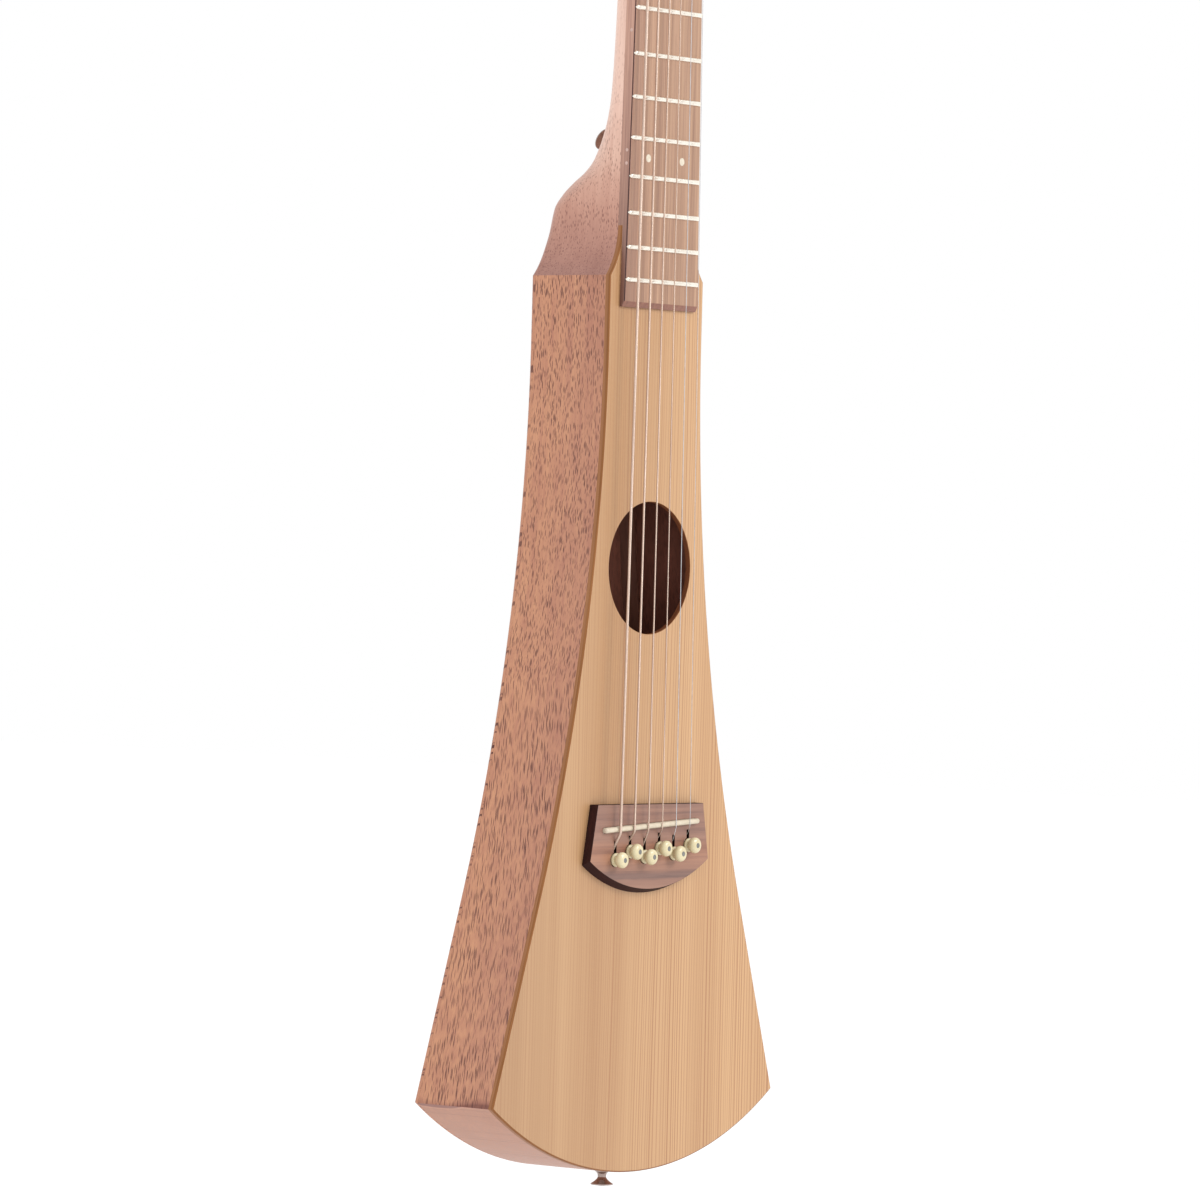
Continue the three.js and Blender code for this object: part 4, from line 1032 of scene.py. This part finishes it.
def head_section(share, inset=0.0):
    growth = head_half_width - board_width_at_nut / 2
    half_width = board_width_at_nut / 2 + growth * smooth_reading(head_width_shares, share) - inset
    rounding_share = smooth_reading(head_round_shares, share)
    depth = head_thickness - 2 * inset
    rounds = [head_edge_round + rounding_share * (size - head_edge_round - rest_gap)
              for size in (half_width, depth)]
    return section(half_width, depth, *rounds, head_face_round * min(1, share / 0.08) + 0.02,
                   lambda x, y: head_matrix @ at(x, y + inset, head_length * share))


def heel_depth(share):
    deep = back_y - neck_flat_y - neck_wood_at_heel
    return neck_wood_at_heel + deep * smooth_reading(heel_depth_shares, share)


def neck_rings():
    rings = [head_section(1 - drop / head_length, inset) for inset, drop in rounding(head_end_round, 4)]
    rings += [head_section(share / 100) for share in range(98, -1, -1)]
    heel_top = joint_z + heel_length
    for share in [i / 16 for i in range(16)]:
        rings.append(neck_section(nut_z + (heel_top - nut_z) * share,
                                  neck_wood_at_nut + (neck_wood_at_heel - neck_wood_at_nut) * share,
                                  heel_round_width_shares[0][1], heel_round_depth_shares[0][1]))
    for share in [i / 80 for i in range(81)]:
        rings.append(neck_section(heel_top - heel_length * share, heel_depth(share),
                                  smooth_reading(heel_round_width_shares, share),
                                  smooth_reading(heel_round_depth_shares, share)))
    return rings


def post_place(number):
    sign = -1 if number < STRING_COUNT / 2 else 1
    return at(sign * post_across, first_post_from_nut + post_pitch * min(number, STRING_COUNT - 1 - number))


def heel_back_y(z):
    return neck_flat_y + heel_depth((joint_z + heel_length - z) / heel_length)


def heel_button_matrix():
    z = joint_z + heel_button_above_joint
    above, below = heel_back_y(z + strap_base_radius), heel_back_y(z - strap_base_radius)
    lean = math.atan2(below - above, 2 * strap_base_radius)
    return shift(0, max((above + below) / 2, heel_back_y(z)), z) @ spin(lean, ACROSS)


def make_neck():
    def channel(low, high):
        return box_shape((-truss_channel_half, neck_flat_y - overrun, low),
                         (truss_channel_half, neck_flat_y + truss_channel_depth, high))

    posts = [rod_y(post_radius + running_gap, -overrun, head_thickness + overrun, *post_place(number))
             for number in strings]
    screw = rod_y(strap_screw_radius + rest_gap, -strap_screw_length - rest_gap, overrun)
    piece("neck_mahogany", lofted(neck_rings()), neck_wood, "mahogany", "neck",
          cuts=(channel(joint_z - overrun, nut_z - truss_channel_from_nut),
                moved(merged(posts), head_matrix), moved(screw, heel_button_matrix())))
    half, low = upper_half_width - side_thickness, joint_z - straight_side_length
    outline = [at(half, joint_z), at(half, low), at(-half, low), at(-half, joint_z)]
    piece("neck_block_mahogany", slab(outline, neck_flat_y, inner_back_y), inner_mahogany, "mahogany",
          cuts=[channel(low - overrun, joint_z + overrun)])


# Fingerboard, frets, dots and nut

def face_dot_places():
    return [(sign * face_dot_across, mid_fret(double_dot_fret)) for sign in (-1, 1)]


def side_dot_places():
    """Distance from the centre line, depth and height of the dots along the bass edge."""
    heights = [mid_fret(number) for number in side_dot_frets]
    heights += [mid_fret(double_dot_fret) + sign * side_dot_spread / 2 for sign in (-1, 1)]
    return [(board_half_width(z), board_top_y + side_dot_below_face, z) for z in heights]


def make_fingerboard():
    """A side profile in Y and Z, widened towards the body, with its face's corners rounded."""
    profile = [
        (board_top_y, nut_z, 1), (board_top_y, board_end_z + board_end_bevel_run, 1),
        (board_top_y + board_end_bevel_depth, board_end_z, 0), (front_y, board_end_z, 0),
        (front_y, tongue_z, 0), (neck_flat_y, tongue_z, 0), (neck_flat_y, nut_z, 0),
    ]
    edge = rounding(board_corner_round, 4)
    rings = [[at(sign * (board_half_width(z) - inset), y + drop * face, z) for y, z, face in profile]
             for sign, inset, drop in [(-1, *stop) for stop in edge[::-1]] + [(1, *stop) for stop in edge]]
    slots = []
    for z in [fret_z(number) for number in range(1, fret_count + 1)]:
        reach, half = board_half_width(z) - fret_tang_inset + rest_gap, fret_tang / 2 + 0.05
        slots.append(box_shape((-reach, board_top_y - overrun, z - half),
                               (reach, board_top_y + fret_tang_depth + rest_gap, z + half)))
    dots = [rod_y(face_dot_radius + 0.04, board_top_y - overrun, board_top_y + dot_depth, x, z)
            for x, z in face_dot_places()]
    sides = merged([rod_x(side_dot_radius + 0.03, x - dot_depth, x + overrun, y, z)
                    for x, y, z in side_dot_places()])

    def rule(centre, normal):
        if centre.z < board_end_z + board_end_bevel_run and normal.z < -0.3:
            return 3
        if abs(normal.x) > 0.9:
            return 1
        # The rounded long edges take the painted shadow line.
        return 2 if abs(normal.x) > 0.3 else 0

    piece("fingerboard_wood", lofted(rings), board_wood, "fingerboard_wood", "fingerboard",
          cuts=(merged(slots), merged(dots), moved(sides, Matrix.Diagonal((-1, 1, 1, 1)))),
          others=(board_side, board_rim_painted_shade, board_end), rule=rule)


def make_dot(name, radius, rim, proud, depth, sides, matrix, material):
    """An inlaid dot; proud and depth are counted along its own Y."""
    crown = [(0, proud), (radius - rim, proud), (radius, 0), (radius, depth), (0, depth)]
    piece(name, moved(turned(crown, sides), matrix), material, "nut_bone")


def make_dots():
    for number, (x, z) in enumerate(face_dot_places(), 1):
        make_dot(f"face_dot_{number}", face_dot_radius, 0.3, -0.03, dot_depth, 40, shift(x, board_top_y, z),
                 pearl_dot)
    for number, (x, y, z) in enumerate(side_dot_places(), 1):
        make_dot(f"side_dot_{number}", side_dot_radius, 0.2, 0.02, -dot_depth, 24,
                 shift(-x, y, z) @ spin(QUARTER, UP), side_dot)


def make_fret(number):
    """Rounded crown with tips filed to a slanted point, on a tang."""
    z, half = fret_z(number), fret_width / 2
    reach, tang_reach = board_half_width(z) - 0.05, board_half_width(z) - fret_tang_inset
    profile = [(math.cos(math.pi * i / 12), math.sin(math.pi * i / 12)) for i in range(13)]
    tips = [(0, 0.06, 0.12), (0.35, 0.5, 0.55), (0.7, 0.86, 0.86), (1, 1, 1)]

    def ring(x, width, height):
        crown = [at(x, board_top_y - up ** 0.8 * fret_height * height, z + across * half * width)
                 for across, up in profile]
        return crown + [at(x, board_top_y + 0.02, z + way * half * width) for way in (-1, 1)]

    rings = [ring(-reach + fret_tip_length * along, width, height) for along, width, height in tips]
    rings += [ring(reach - fret_tip_length * along, width, height) for along, width, height in tips[::-1]]
    tang = box_shape((-tang_reach, board_top_y - 0.3, z - fret_tang / 2),
                     (tang_reach, board_top_y + fret_tang_depth, z + fret_tang / 2))
    piece(f"fret_wire_{number:02d}", merged([lofted(rings), tang]), fret_silver, "fret_metal",
          f"fret_{number:02d}", sharp=50)


def make_nut():
    low, high = node_box("nut")

    def ring(x, inset):
        points = [(high.y, low.z), (high.y, high.z)]
        points += [(low.y + inset + in_y, high.z - in_z - inset * 0.2)
                   for in_y, in_z in rounding(nut_round, 3)]
        points += [(low.y + inset, low.z + 0.4), (low.y + inset + 0.4, low.z)]
        return [at(x, y, z) for y, z in points]

    ends = [(0, 0.8), (0.25, 0.25), (0.8, 0)]
    rings = [ring(low.x + along, inset) for along, inset in ends]
    rings += [ring(high.x - along, inset) for along, inset in ends[::-1]]
    slots = []
    for number in strings:
        x, radius = across_at(spread_at_nut, number), string_diameters[number] / 2 + 0.05
        bottom = board_top_y - string_rise_at_nut + 0.02
        slots.append(box_shape((x - radius, low.y - overrun, nut_z - overrun),
                               (x + radius, bottom, high.z + overrun)))
    piece("nut_bone_block", lofted(rings), nut_bone, "nut_bone", "nut", cuts=[merged(slots)])


# Bridge, saddle and pins

def bridge_ring(flare, inset, y, steps=64):
    """The bridge's outline at one depth: flared at its foot, drawn in where its edge is rounded."""
    half = bridge_half_width_below + bridge_side_flare * flare
    radius = (half ** 2 + bridge_arc_drop ** 2) / (2 * bridge_arc_drop)
    centre_z = saddle_z - bridge_corner_below_saddle - bridge_arc_flare * flare - bridge_arc_drop + radius
    reach = math.asin(half / radius)
    arc = [at(radius * math.sin(a), centre_z - radius * math.cos(a))
           for a in [reach * (1 - 2 * i / steps) for i in range(steps + 1)]]
    top, top_half = saddle_z + bridge_above_saddle, bridge_half_width_above + bridge_side_flare * flare
    outline = [at(top_half, top), *arc, at(-top_half, top)]
    return [at(point[0], y, point[1]) for point in (inward(outline, inset) if inset else outline)]


def saddle_matrix():
    slant = spin(-math.atan(saddle_slant / saddle_length), DEPTH)
    return shift(saddle_middle, 0, saddle_line(saddle_middle)) @ slant


def stadium(half_length, half_width, steps=12):
    """A bar's outline with round ends, as (x, z)."""
    points = []
    for sign in (1, -1):
        for i in range(steps + 1):
            angle = -sign * QUARTER + math.pi * i / steps
            points.append(at(sign * (half_length - half_width) + half_width * math.cos(angle),
                             half_width * math.sin(angle)))
    return points


def slot_exit(number):
    """The height at which a string rises out of its slot, past the bridge's face."""
    pin = pin_place(number)
    bend_z = pin.y + string_from_pin(number)
    top_y = saddle_top_y - string_diameters[number] / 2
    run = saddle_line(pin.x) - saddle_thickness / 2 - rest_gap - bend_z
    return bend_z + run * string_bend_depth / (bridge_top_y + string_bend_depth - top_y)


def make_bridge():
    rings = [bridge_ring(1, 0, front_y)]
    share = bridge_edge_round / (front_y - bridge_top_y)
    rings += [bridge_ring(share, drop, bridge_top_y + inset)
              for inset, drop in rounding(bridge_edge_round, 3)]
    slot = slab(stadium(saddle_length / 2 + saddle_slot_gap, saddle_thickness / 2 + saddle_slot_gap),
                bridge_top_y - overrun, bridge_top_y + saddle_slot_depth + rest_gap)
    above, floor_y, rim = bridge_top_y - overrun, bridge_top_y + pin_slot_depth, pin_shank_radius + rest_gap
    cone = [(rim + countersink, above), (rim + countersink, bridge_top_y), (rim, bridge_top_y + countersink),
            (rim, bridge_top_y + countersink + 0.2)]
    ramps, countersinks = [], []
    for number in strings:
        pin = pin_place(number)
        reach = slot_exit(number) + pin_slot_past
        ramp = [(above, pin.y), (floor_y, pin.y), (floor_y, pin.y + string_from_pin(number) + 0.6),
                (bridge_top_y, reach), (above, reach)]
        ramps.append(lofted([[at(pin.x + side * pin_slot_width / 2, y, z) for y, z in ramp]
                             for side in (-1, 1)]))
        countersinks.append(moved(turned(cone, 40), shift(pin.x, 0, pin.y)))

    def rule(centre, normal):
        near_pin = any(abs(centre.x - pin_place(number).x) < pin_slot_width for number in strings)
        in_slot = near_pin and centre.y > bridge_top_y + 0.02
        # Faces inside the string slots take the painted shade of the recesses.
        if in_slot and abs(centre.x) < pin_slot_zone_half and centre.z > saddle_z - pin_slot_zone_drop:
            return 2
        # Walls take the dark wall wood with its painted shade; the front face keeps the bridge wood.
        return int(normal.y > -0.9)

    piece("bridge_rosewood", lofted(rings), bridge_wood, "bridge_wood", "bridge",
          cuts=(moved(slot, saddle_matrix()), merged(ramps), *pin_hole_cuts(above, front_y + overrun),
                merged(countersinks)), others=(bridge_side, slot_painted_shade), rule=rule)


def make_saddle():
    half, length = saddle_thickness / 2, saddle_length / 2
    rings = []
    for share, drop in rounding(1, 4):
        inset = (half - 0.1) * share
        outline = stadium(length - inset, half - inset)
        rings.append([at(point.x, saddle_top_y + half * drop, point.y) for point in outline])
    foot_y = bridge_top_y + saddle_slot_depth
    rings.append([at(point.x, foot_y, point.y) for point in stadium(length, half)])
    piece("saddle_bone_bar", moved(lofted(rings), saddle_matrix()), saddle_bone, "saddle_bone", "saddle",
          sharp=60)


def make_pin(number):
    """Round head on a waist and collar, with a shank through the bridge and an inlaid dot; heights are
    counted along Y from the bridge's face."""
    middle, face = pin_head_front - pin_head_height, 0.04 - pin_head_height
    dot_floor, tip = face + 0.5, plate_back_y + pin_tip_past - bridge_top_y
    profile = [(0, dot_floor), (pin_dot_radius + 0.02, dot_floor), (pin_dot_radius + 0.02, face)]
    for angle in [QUARTER * i / 12 for i in range(1, 13)]:
        profile.append((pin_dot_radius + (pin_head_radius - pin_dot_radius) * math.sin(angle) ** 0.9,
                        middle - (middle - face) * math.cos(angle) ** 0.85))
    least = round(math.cos(pin_neck_angle), 3)
    for angle in [pin_neck_angle * i / 10 for i in range(1, 11)]:
        share = (math.cos(angle) - least) / (1 - least)
        profile.append((pin_waist_radius + (pin_head_radius - pin_waist_radius) * share,
                        middle + pin_head_back * math.sin(angle) / math.sin(pin_neck_angle)))
    collar_top, collar_low = -rest_gap - pin_collar_height, -rest_gap - 0.2
    profile += [(pin_waist_radius, (profile[-1][1] + collar_top) / 2), (pin_collar_radius - 0.6, collar_top),
                (pin_collar_radius - 0.15, collar_top + 0.2), (pin_collar_radius, collar_top + 0.5),
                (pin_collar_radius, collar_low), (pin_collar_radius - 0.25, -0.05), (pin_shank_radius, -0.05),
                (pin_shank_radius, 0.6), (pin_tip_radius, tip - 1), (pin_tip_radius - 0.7, tip), (0, tip)]
    dome = [(0, face - 0.035), (pin_dot_radius * 0.6, face - 0.025), (pin_dot_radius, face + 0.02),
            (pin_dot_radius, dot_floor - 0.05), (0, dot_floor - 0.05)]
    seat = shift(pin_place(number).x, bridge_top_y, pin_place(number).y)
    piece(f"pin_{label(number)}", moved(turned(profile), seat), pin_ivory, "pin_plastic",
          f"bridge_pin_{label(number)}", sharp=50)
    piece(f"pin_dot_{label(number)}", moved(turned(dome, 32), seat), pin_dot, "pin_plastic", sharp=50)


# Strings

def string_looks(number):
    """Material and slot."""
    return (wound_bronze, "string_bronze") if number < wound_strings else (plain_steel, "string_steel")


def nut_exit(number):
    """Where the string leaves the nut towards the headstock."""
    y = board_top_y - string_rise_at_nut - string_diameters[number] / 2
    return at(across_at(spread_at_nut, number), y, nut_z + nut_thickness + rest_gap)


def winding(number):
    """The turns from where the string meets its post up to the post's hole, in the headstock's own
    frame, and the angle of that hole."""
    nut_point, post = head_matrix.inverted() @ nut_exit(number), post_place(number)
    turn_radius = post_waist_radius + rest_gap + string_diameters[number] / 2
    to_nut = at(nut_point.x - post.x, nut_point.z - post.y)
    way = -1 if post.x > 0 else 1
    start = math.atan2(to_nut.y, to_nut.x) + way * math.acos(turn_radius / to_nut.length)
    climb = string_diameters[number] + winding_gap
    points = []
    for turn in [i / winding_steps for i in range(round(winding_turns * winding_steps) + 1)]:
        angle = start + way * 2 * math.pi * turn
        height = post_hole_height - climb * (winding_turns - turn)
        points.append(at(post.x + turn_radius * math.cos(angle), -height,
                         post.y + turn_radius * math.sin(angle)))
    return points, start + way * 2 * math.pi * winding_turns


def make_string(number):
    """Ball end, bend over the saddle, straight run, bend at the nut and the turns on the post."""
    radius, pin = string_diameters[number] / 2, pin_place(number)
    z, end_y = pin.y + string_from_pin(number), plate_back_y + pin_tip_past + 2 * rest_gap
    saddle_x = across_at(spread_at_saddle, number)
    over_saddle = at(saddle_x, saddle_top_y - radius, saddle_line(saddle_x) - saddle_thickness / 2 - rest_gap)
    turns = [head_matrix @ point for point in winding(number)[0]]
    stops = [at(pin.x, end_y - rest_gap, z), at(pin.x, bridge_top_y + string_bend_depth, z),
             at(pin.x, bridge_top_y, slot_exit(number)), over_saddle, nut_exit(number), turns[0]]
    route = rounded_route(stops, string_bend_radius)[:-1] + turns
    length = string_ball_length
    ball = [(0.4, 0), (0.85, 0.12), (1, 0.5), (1, length - 0.5), (0.85, length - 0.12), (0.4, length)]
    points = [at(pin.x, end_y + length - along, z) for _, along in ball] + route
    shape, lengths = tube(points, [string_ball_radius * share for share, _ in ball] + [radius] * len(route))
    wire = new_object(f"string_wire_{label(number)}", shape)
    turns_map = wire.data.uv_layers.new(name="turns")
    sides, pitch = len(shape[0]) // len(points), wrap_share * string_diameters[number]
    for face in wire.data.polygons:
        corners = [wire.data.loops[i].vertex_index for i in face.loop_indices]
        columns = [v % sides for v in corners]
        wraps = max(columns) - min(columns) > sides / 2
        for i, v, column in zip(face.loop_indices, corners, columns):
            share = (column + sides if wraps and column < sides / 2 else column) / sides
            turns_map.data[i].uv = (share, lengths[v // sides] / pitch)
    finished(wire, *string_looks(number), f"string_{label(number)}", sharp=60)


# Tuning machines, each in a frame whose origin is the post's axis at the headstock's face

# Places across a gear tooth in half thicknesses, with the radius there
tooth_profile = [
    (-1.5, gear_pitch_radius - tooth_dedendum), (-1, gear_pitch_radius), (-0.58, gear_tip_radius),
    (0.58, gear_tip_radius), (1, gear_pitch_radius), (1.5, gear_pitch_radius - tooth_dedendum),
]


def gear_shape():
    half = tooth_thickness / 2 / gear_pitch_radius
    outline = []
    for middle in [QUARTER + turn for turn in circle(gear_teeth)]:
        for share, radius in tooth_profile:
            angle = middle + share * half
            outline.append(at(radius * math.cos(angle), radius * math.sin(angle)))
    return slab(outline, gear_mid_depth - gear_thickness / 2, gear_mid_depth + gear_thickness / 2)


def make_post(number, machine):
    top, waist_top, waist_low = -post_above_head, -post_waist_top, -post_waist_bottom
    gear_end, end = gear_mid_depth + gear_thickness / 2 + rest_gap, housing_cavity_end - rest_gap
    stem = turned([
        (0, top + 0.35), (post_radius - 1.1, top + 0.35), (post_radius - 0.9, top), (post_radius - 0.3, top),
        (post_radius, top + 0.3), (post_radius, waist_top - 0.5), (post_radius - 0.35, waist_top - 0.05),
        (post_waist_radius, waist_top + 0.3), (post_waist_radius, waist_low - 0.3),
        (post_radius - 0.35, waist_low + 0.05), (post_radius, waist_low + 0.5),
        (post_radius, gear_mid_depth - gear_thickness / 2), (post_radius, gear_mid_depth),
        (post_end_radius, gear_end), (post_end_radius, end), (0, end)])
    aim = machine @ spin(-winding(number)[1], DEPTH)
    hole = rod_x(post_hole_radius, -post_radius - overrun, post_radius + overrun, -post_hole_height)
    post = carved(new_object(f"post_{label(number)}_turned", moved(stem, machine)), moved(hole, aim))
    gear = new_object("gear", moved(gear_shape(), machine))
    whole = bmesh.new()
    whole.from_mesh(post.data)
    whole.from_mesh(gear.data)
    whole.to_mesh(post.data)
    whole.free()
    bpy.data.objects.remove(gear)
    body, reach = f"post_{label(number)}", post_waist_radius - 0.1
    finished(post, chrome, "tuner_metal", f"tuner_post_{label(number)}", body=body)
    end_shape = rod_x(string_diameters[number] / 2, -reach, reach, -post_hole_height, sides=16)
    piece(f"string_end_{label(number)}", moved(end_shape, aim), plain_steel, string_looks(number)[1],
          body=body)


def thread_shape():
    foot = worm_root_radius - rest_gap
    profile = [(-1.7, foot), (-0.55, worm_tip_radius), (0.55, worm_tip_radius), (1.7, foot)]
    rings = []
    for i in range(round(worm_turns * worm_steps) + 1):
        turn = i / worm_steps - worm_turns / 2
        angle, x = 2 * math.pi * turn, worm_pitch * (turn - 1 / 4)
        rings.append([at(x + share * tooth_thickness / 2, radius * math.cos(angle), radius * math.sin(angle))
                      for share, radius in profile])
    return lofted(rings)


# Shares of the button's length, with those of its half width and half thickness
button_widths = [
    (0, 0.3), (0.04, 0.42), (0.2, 0.66), (0.5, 0.97), (0.72, 1), (0.88, 0.93), (0.96, 0.8), (1, 0.58),
]
button_thicks = [
    (0, 0.6), (0.04, 0.74), (0.2, 0.93), (0.5, 1), (0.72, 0.98), (0.88, 0.86), (0.96, 0.68), (1, 0.44),
]


def make_key(number, machine, sign):
    edge = head_half_width - post_across + button_from_head_edge
    core = rod_x(worm_root_radius, rest_gap - gear_reach, gear_reach)
    shaft = rod_x(shaft_radius, gear_reach - rest_gap, edge + 0.5)
    rings = []
    for share in [i / 24 for i in range(25)]:
        wide = button_half_width * smooth_reading(button_widths, share)
        thick = button_half_thickness * smooth_reading(button_thicks, share)
        rings.append([at(edge + button_length * share, thick * math.cos(a), wide * math.sin(a))
                      for a in circle(40)])
    collar = turned([(shaft_radius, 0), (shaft_radius + 0.8, 0.15), (shaft_radius + 0.8, 1.2),
                     (shaft_radius, 1.4)], 32)
    collar = moved(collar, shift(edge - 1.2, 0, 0) @ spin(-QUARTER, UP))
    seat = machine @ shift(0, gear_mid_depth, gear_to_worm)
    outer = moved(merged([core, shaft, lofted(rings), collar]), seat @ spin(0 if sign > 0 else math.pi, UP))
    piece(f"key_{label(number)}_button", merged([outer, moved(thread_shape(), seat)]), chrome, "tuner_metal",
          f"tuner_key_{label(number)}", body=f"key_{label(number)}", sharp=40)


def rounded_box(reach, top, radius, steps=5):
    """An outline from -reach to reach across and from -reach to top, with rounded corners."""
    points, side, high = [], reach - radius, top - radius
    for i, (x, z) in enumerate([(side, -side), (side, high), (-side, high), (-side, -side)]):
        for angle in [QUARTER * (i - 1 + j / steps) for j in range(steps + 1)]:
            points.append(at(x + radius * math.cos(angle), z + radius * math.sin(angle)))
    return points


def make_housing(number, machine, sign):
    high, outer = gear_to_worm + worm_tip_radius + gear_running_gap, gear_reach + housing_wall
    front, back = head_thickness + rest_gap, housing_cavity_end + housing_wall
    top, inset = high + housing_wall, outer - cover_screw_from_edge
    shell = slab(rounded_box(outer, top, housing_corner), front, back, housing_rim_round, housing_round)
    cavity = slab(rounded_box(gear_reach, high, housing_corner - housing_wall), front - overrun,
                  housing_cavity_end)
    bore_ends = (0, outer + overrun) if sign > 0 else (-outer - overrun, 0)
    bore = rod_x(shaft_radius + running_gap, *bore_ends, gear_mid_depth, gear_to_worm)
    spots = [(inset, -inset), (-inset, top - cover_screw_from_edge)]
    seats = [rod_y(cover_screw_radius + 0.1, back - 0.5, back + overrun, x, z) for x, z in spots]
    piece(f"tuner_cover_{label(number)}", moved(shell, machine), chrome, "tuner_metal",
          f"tuner_housing_{label(number)}",
          cuts=[moved(cut, machine) for cut in (cavity, bore, merged(seats))])
    head = turned([(0, back - 0.5), (cover_screw_radius, back - 0.5), (cover_screw_radius, back - 0.2),
                   (cover_screw_radius - 0.25, back - 0.04), (0, back)], 32)
    for spot, (x, z) in enumerate(spots, 1):
        seat = machine @ shift(x, 0, z)
        slots = [moved(bar, seat @ spin(cover_screw_turn * number + spot, DEPTH))
                 for bar in cross(1, 0.14, back - 0.25, back + overrun)]
        piece(f"cover_screw_{label(number)}_{spot}", moved(head, seat), dull_steel, "tuner_metal", cuts=slots)


def make_bushing(number, machine):
    """A flanged ring round the post, on the headstock's face."""
    flange, inside = bushing_radius + 0.9, post_radius + 0.35
    ring = turned([(inside, 0), (flange, 0), (flange, -0.35), (flange - 0.3, -0.6), (bushing_radius, -0.6),
                   (bushing_radius - 0.25, -bushing_height + 0.4), (bushing_radius - 0.7, -bushing_height),
                   (inside + 0.15, -bushing_height), (inside, -bushing_height + 0.2)], closed=True)
    piece(f"post_bushing_{label(number)}", moved(ring, machine), chrome, "tuner_metal")


# End pin and strap button, turned about Y with the outer face at the largest y

def strap_button(name, node, matrix):
    top = rest_gap + strap_button_height
    rim = top - strap_dome_height
    bell_start = rim - strap_flange_thickness - strap_bell_length
    bell = [(strap_waist_radius + (strap_flange_radius - strap_waist_radius) * share ** strap_bell_curve,
             bell_start + strap_bell_length * share) for share in [i / 12 for i in range(13)]]
    profile = [(0, -strap_screw_length), (0.3, -strap_screw_length),
               (strap_screw_radius, 3 - strap_screw_length), (strap_screw_radius, 0.02),
               (strap_base_radius - 0.1, 0.02), (strap_base_radius, 0.15),
               (strap_base_radius, strap_base_thickness),
               (strap_base_radius - 0.5, strap_base_thickness + 0.35),
               (strap_waist_radius + 0.2, 2 * strap_base_thickness), *bell,
               (strap_flange_radius, rim - 0.15), (strap_flange_radius - 0.35, rim),
               (strap_dome_radius + 0.35, rim + 0.12), (strap_dome_radius + 0.2, rim),
               (strap_dome_radius, rim + 0.05), (strap_dome_radius * 0.8, top - 0.1),
               (strap_dome_radius * 0.45, top), (0, top)]
    piece(name, moved(turned(profile, 56), matrix), button_metal_brown_reflection, "strap_metal", node, sharp=40,
          cuts=[moved(bar, matrix) for bar in cross(1.5, 0.28, top - 0.9, top + overrun)])


# Camera, light and floor

def make_stage():
    camera = bpy.data.objects.new("camera", bpy.data.cameras.new("camera"))
    bpy.context.scene.collection.objects.link(camera)
    camera.data.lens = camera_lens
    camera.data.sensor_width = camera_sensor
    camera.data.clip_end = 100
    aim = spin(-camera_heading, UP) @ spin(QUARTER - camera_tilt, ACROSS) @ spin(camera_roll, UP)
    camera.matrix_world = Matrix.Translation(Vector(camera_place) * MM) @ aim
    bpy.context.scene.camera = camera
    half = floor_reach
    corners = [at(x, y, -floor_drop) for x, y in ((-half, -half), (half, -half), (half, half), (-half, half))]
    floor = new_object("floor", (corners, [(0, 1, 2, 3)]))
    floor.data.materials.append(pale_floor)
    world = bpy.data.worlds.new("studio")
    bpy.context.scene.world = world
    world.use_nodes = True
    sky = world.node_tree.nodes["Background"]
    sky.inputs["Color"].default_value = (1.0, 1.0, 1.0, 1.0)
    sky.inputs["Strength"].default_value = 1.0
    lamps = [("key_light", (1000, -2300, 1700), 1300, 41), ("side_light", (-2600, 300, 900), 1500, 5)]
    for name, place, size, power in lamps:
        lamp = bpy.data.lights.new(name, "AREA")
        lamp.shape = "SQUARE"
        lamp.size = size * MM
        lamp.energy = power
        light = bpy.data.objects.new(name, lamp)
        bpy.context.scene.collection.objects.link(light)
        light.location = Vector(place) * MM
        light.rotation_mode = "QUATERNION"
        light.rotation_quaternion = (at(0, 0, light_aim_z * MM) - light.location).to_track_quat("-Z", "Y")
    bpy.context.scene.view_settings.view_transform = "Standard"


make_stage()
make_soundboard()
make_back_plate()
make_side(-1, "side_bass")
make_side(1, "side_treble")
make_tail_block()
make_inner_pieces()
make_neck()
make_fingerboard()
make_dots()
for fret_number in range(1, fret_count + 1):
    make_fret(fret_number)
make_nut()
make_bridge()
make_saddle()
for string_number in strings:
    make_pin(string_number)
    make_string(string_number)
for string_number in strings:
    post_x, post_z = post_place(string_number)
    machine_matrix = head_matrix @ shift(post_x, 0, post_z)
    make_post(string_number, machine_matrix)
    make_key(string_number, machine_matrix, 1 if post_x > 0 else -1)
    make_housing(string_number, machine_matrix, 1 if post_x > 0 else -1)
    make_bushing(string_number, machine_matrix)
strap_button("end_pin_button", "end_pin", shift(0, -end_pin_forward, 0) @ spin(-QUARTER, ACROSS))
strap_button("heel_strap_button", "heel_button", heel_button_matrix())
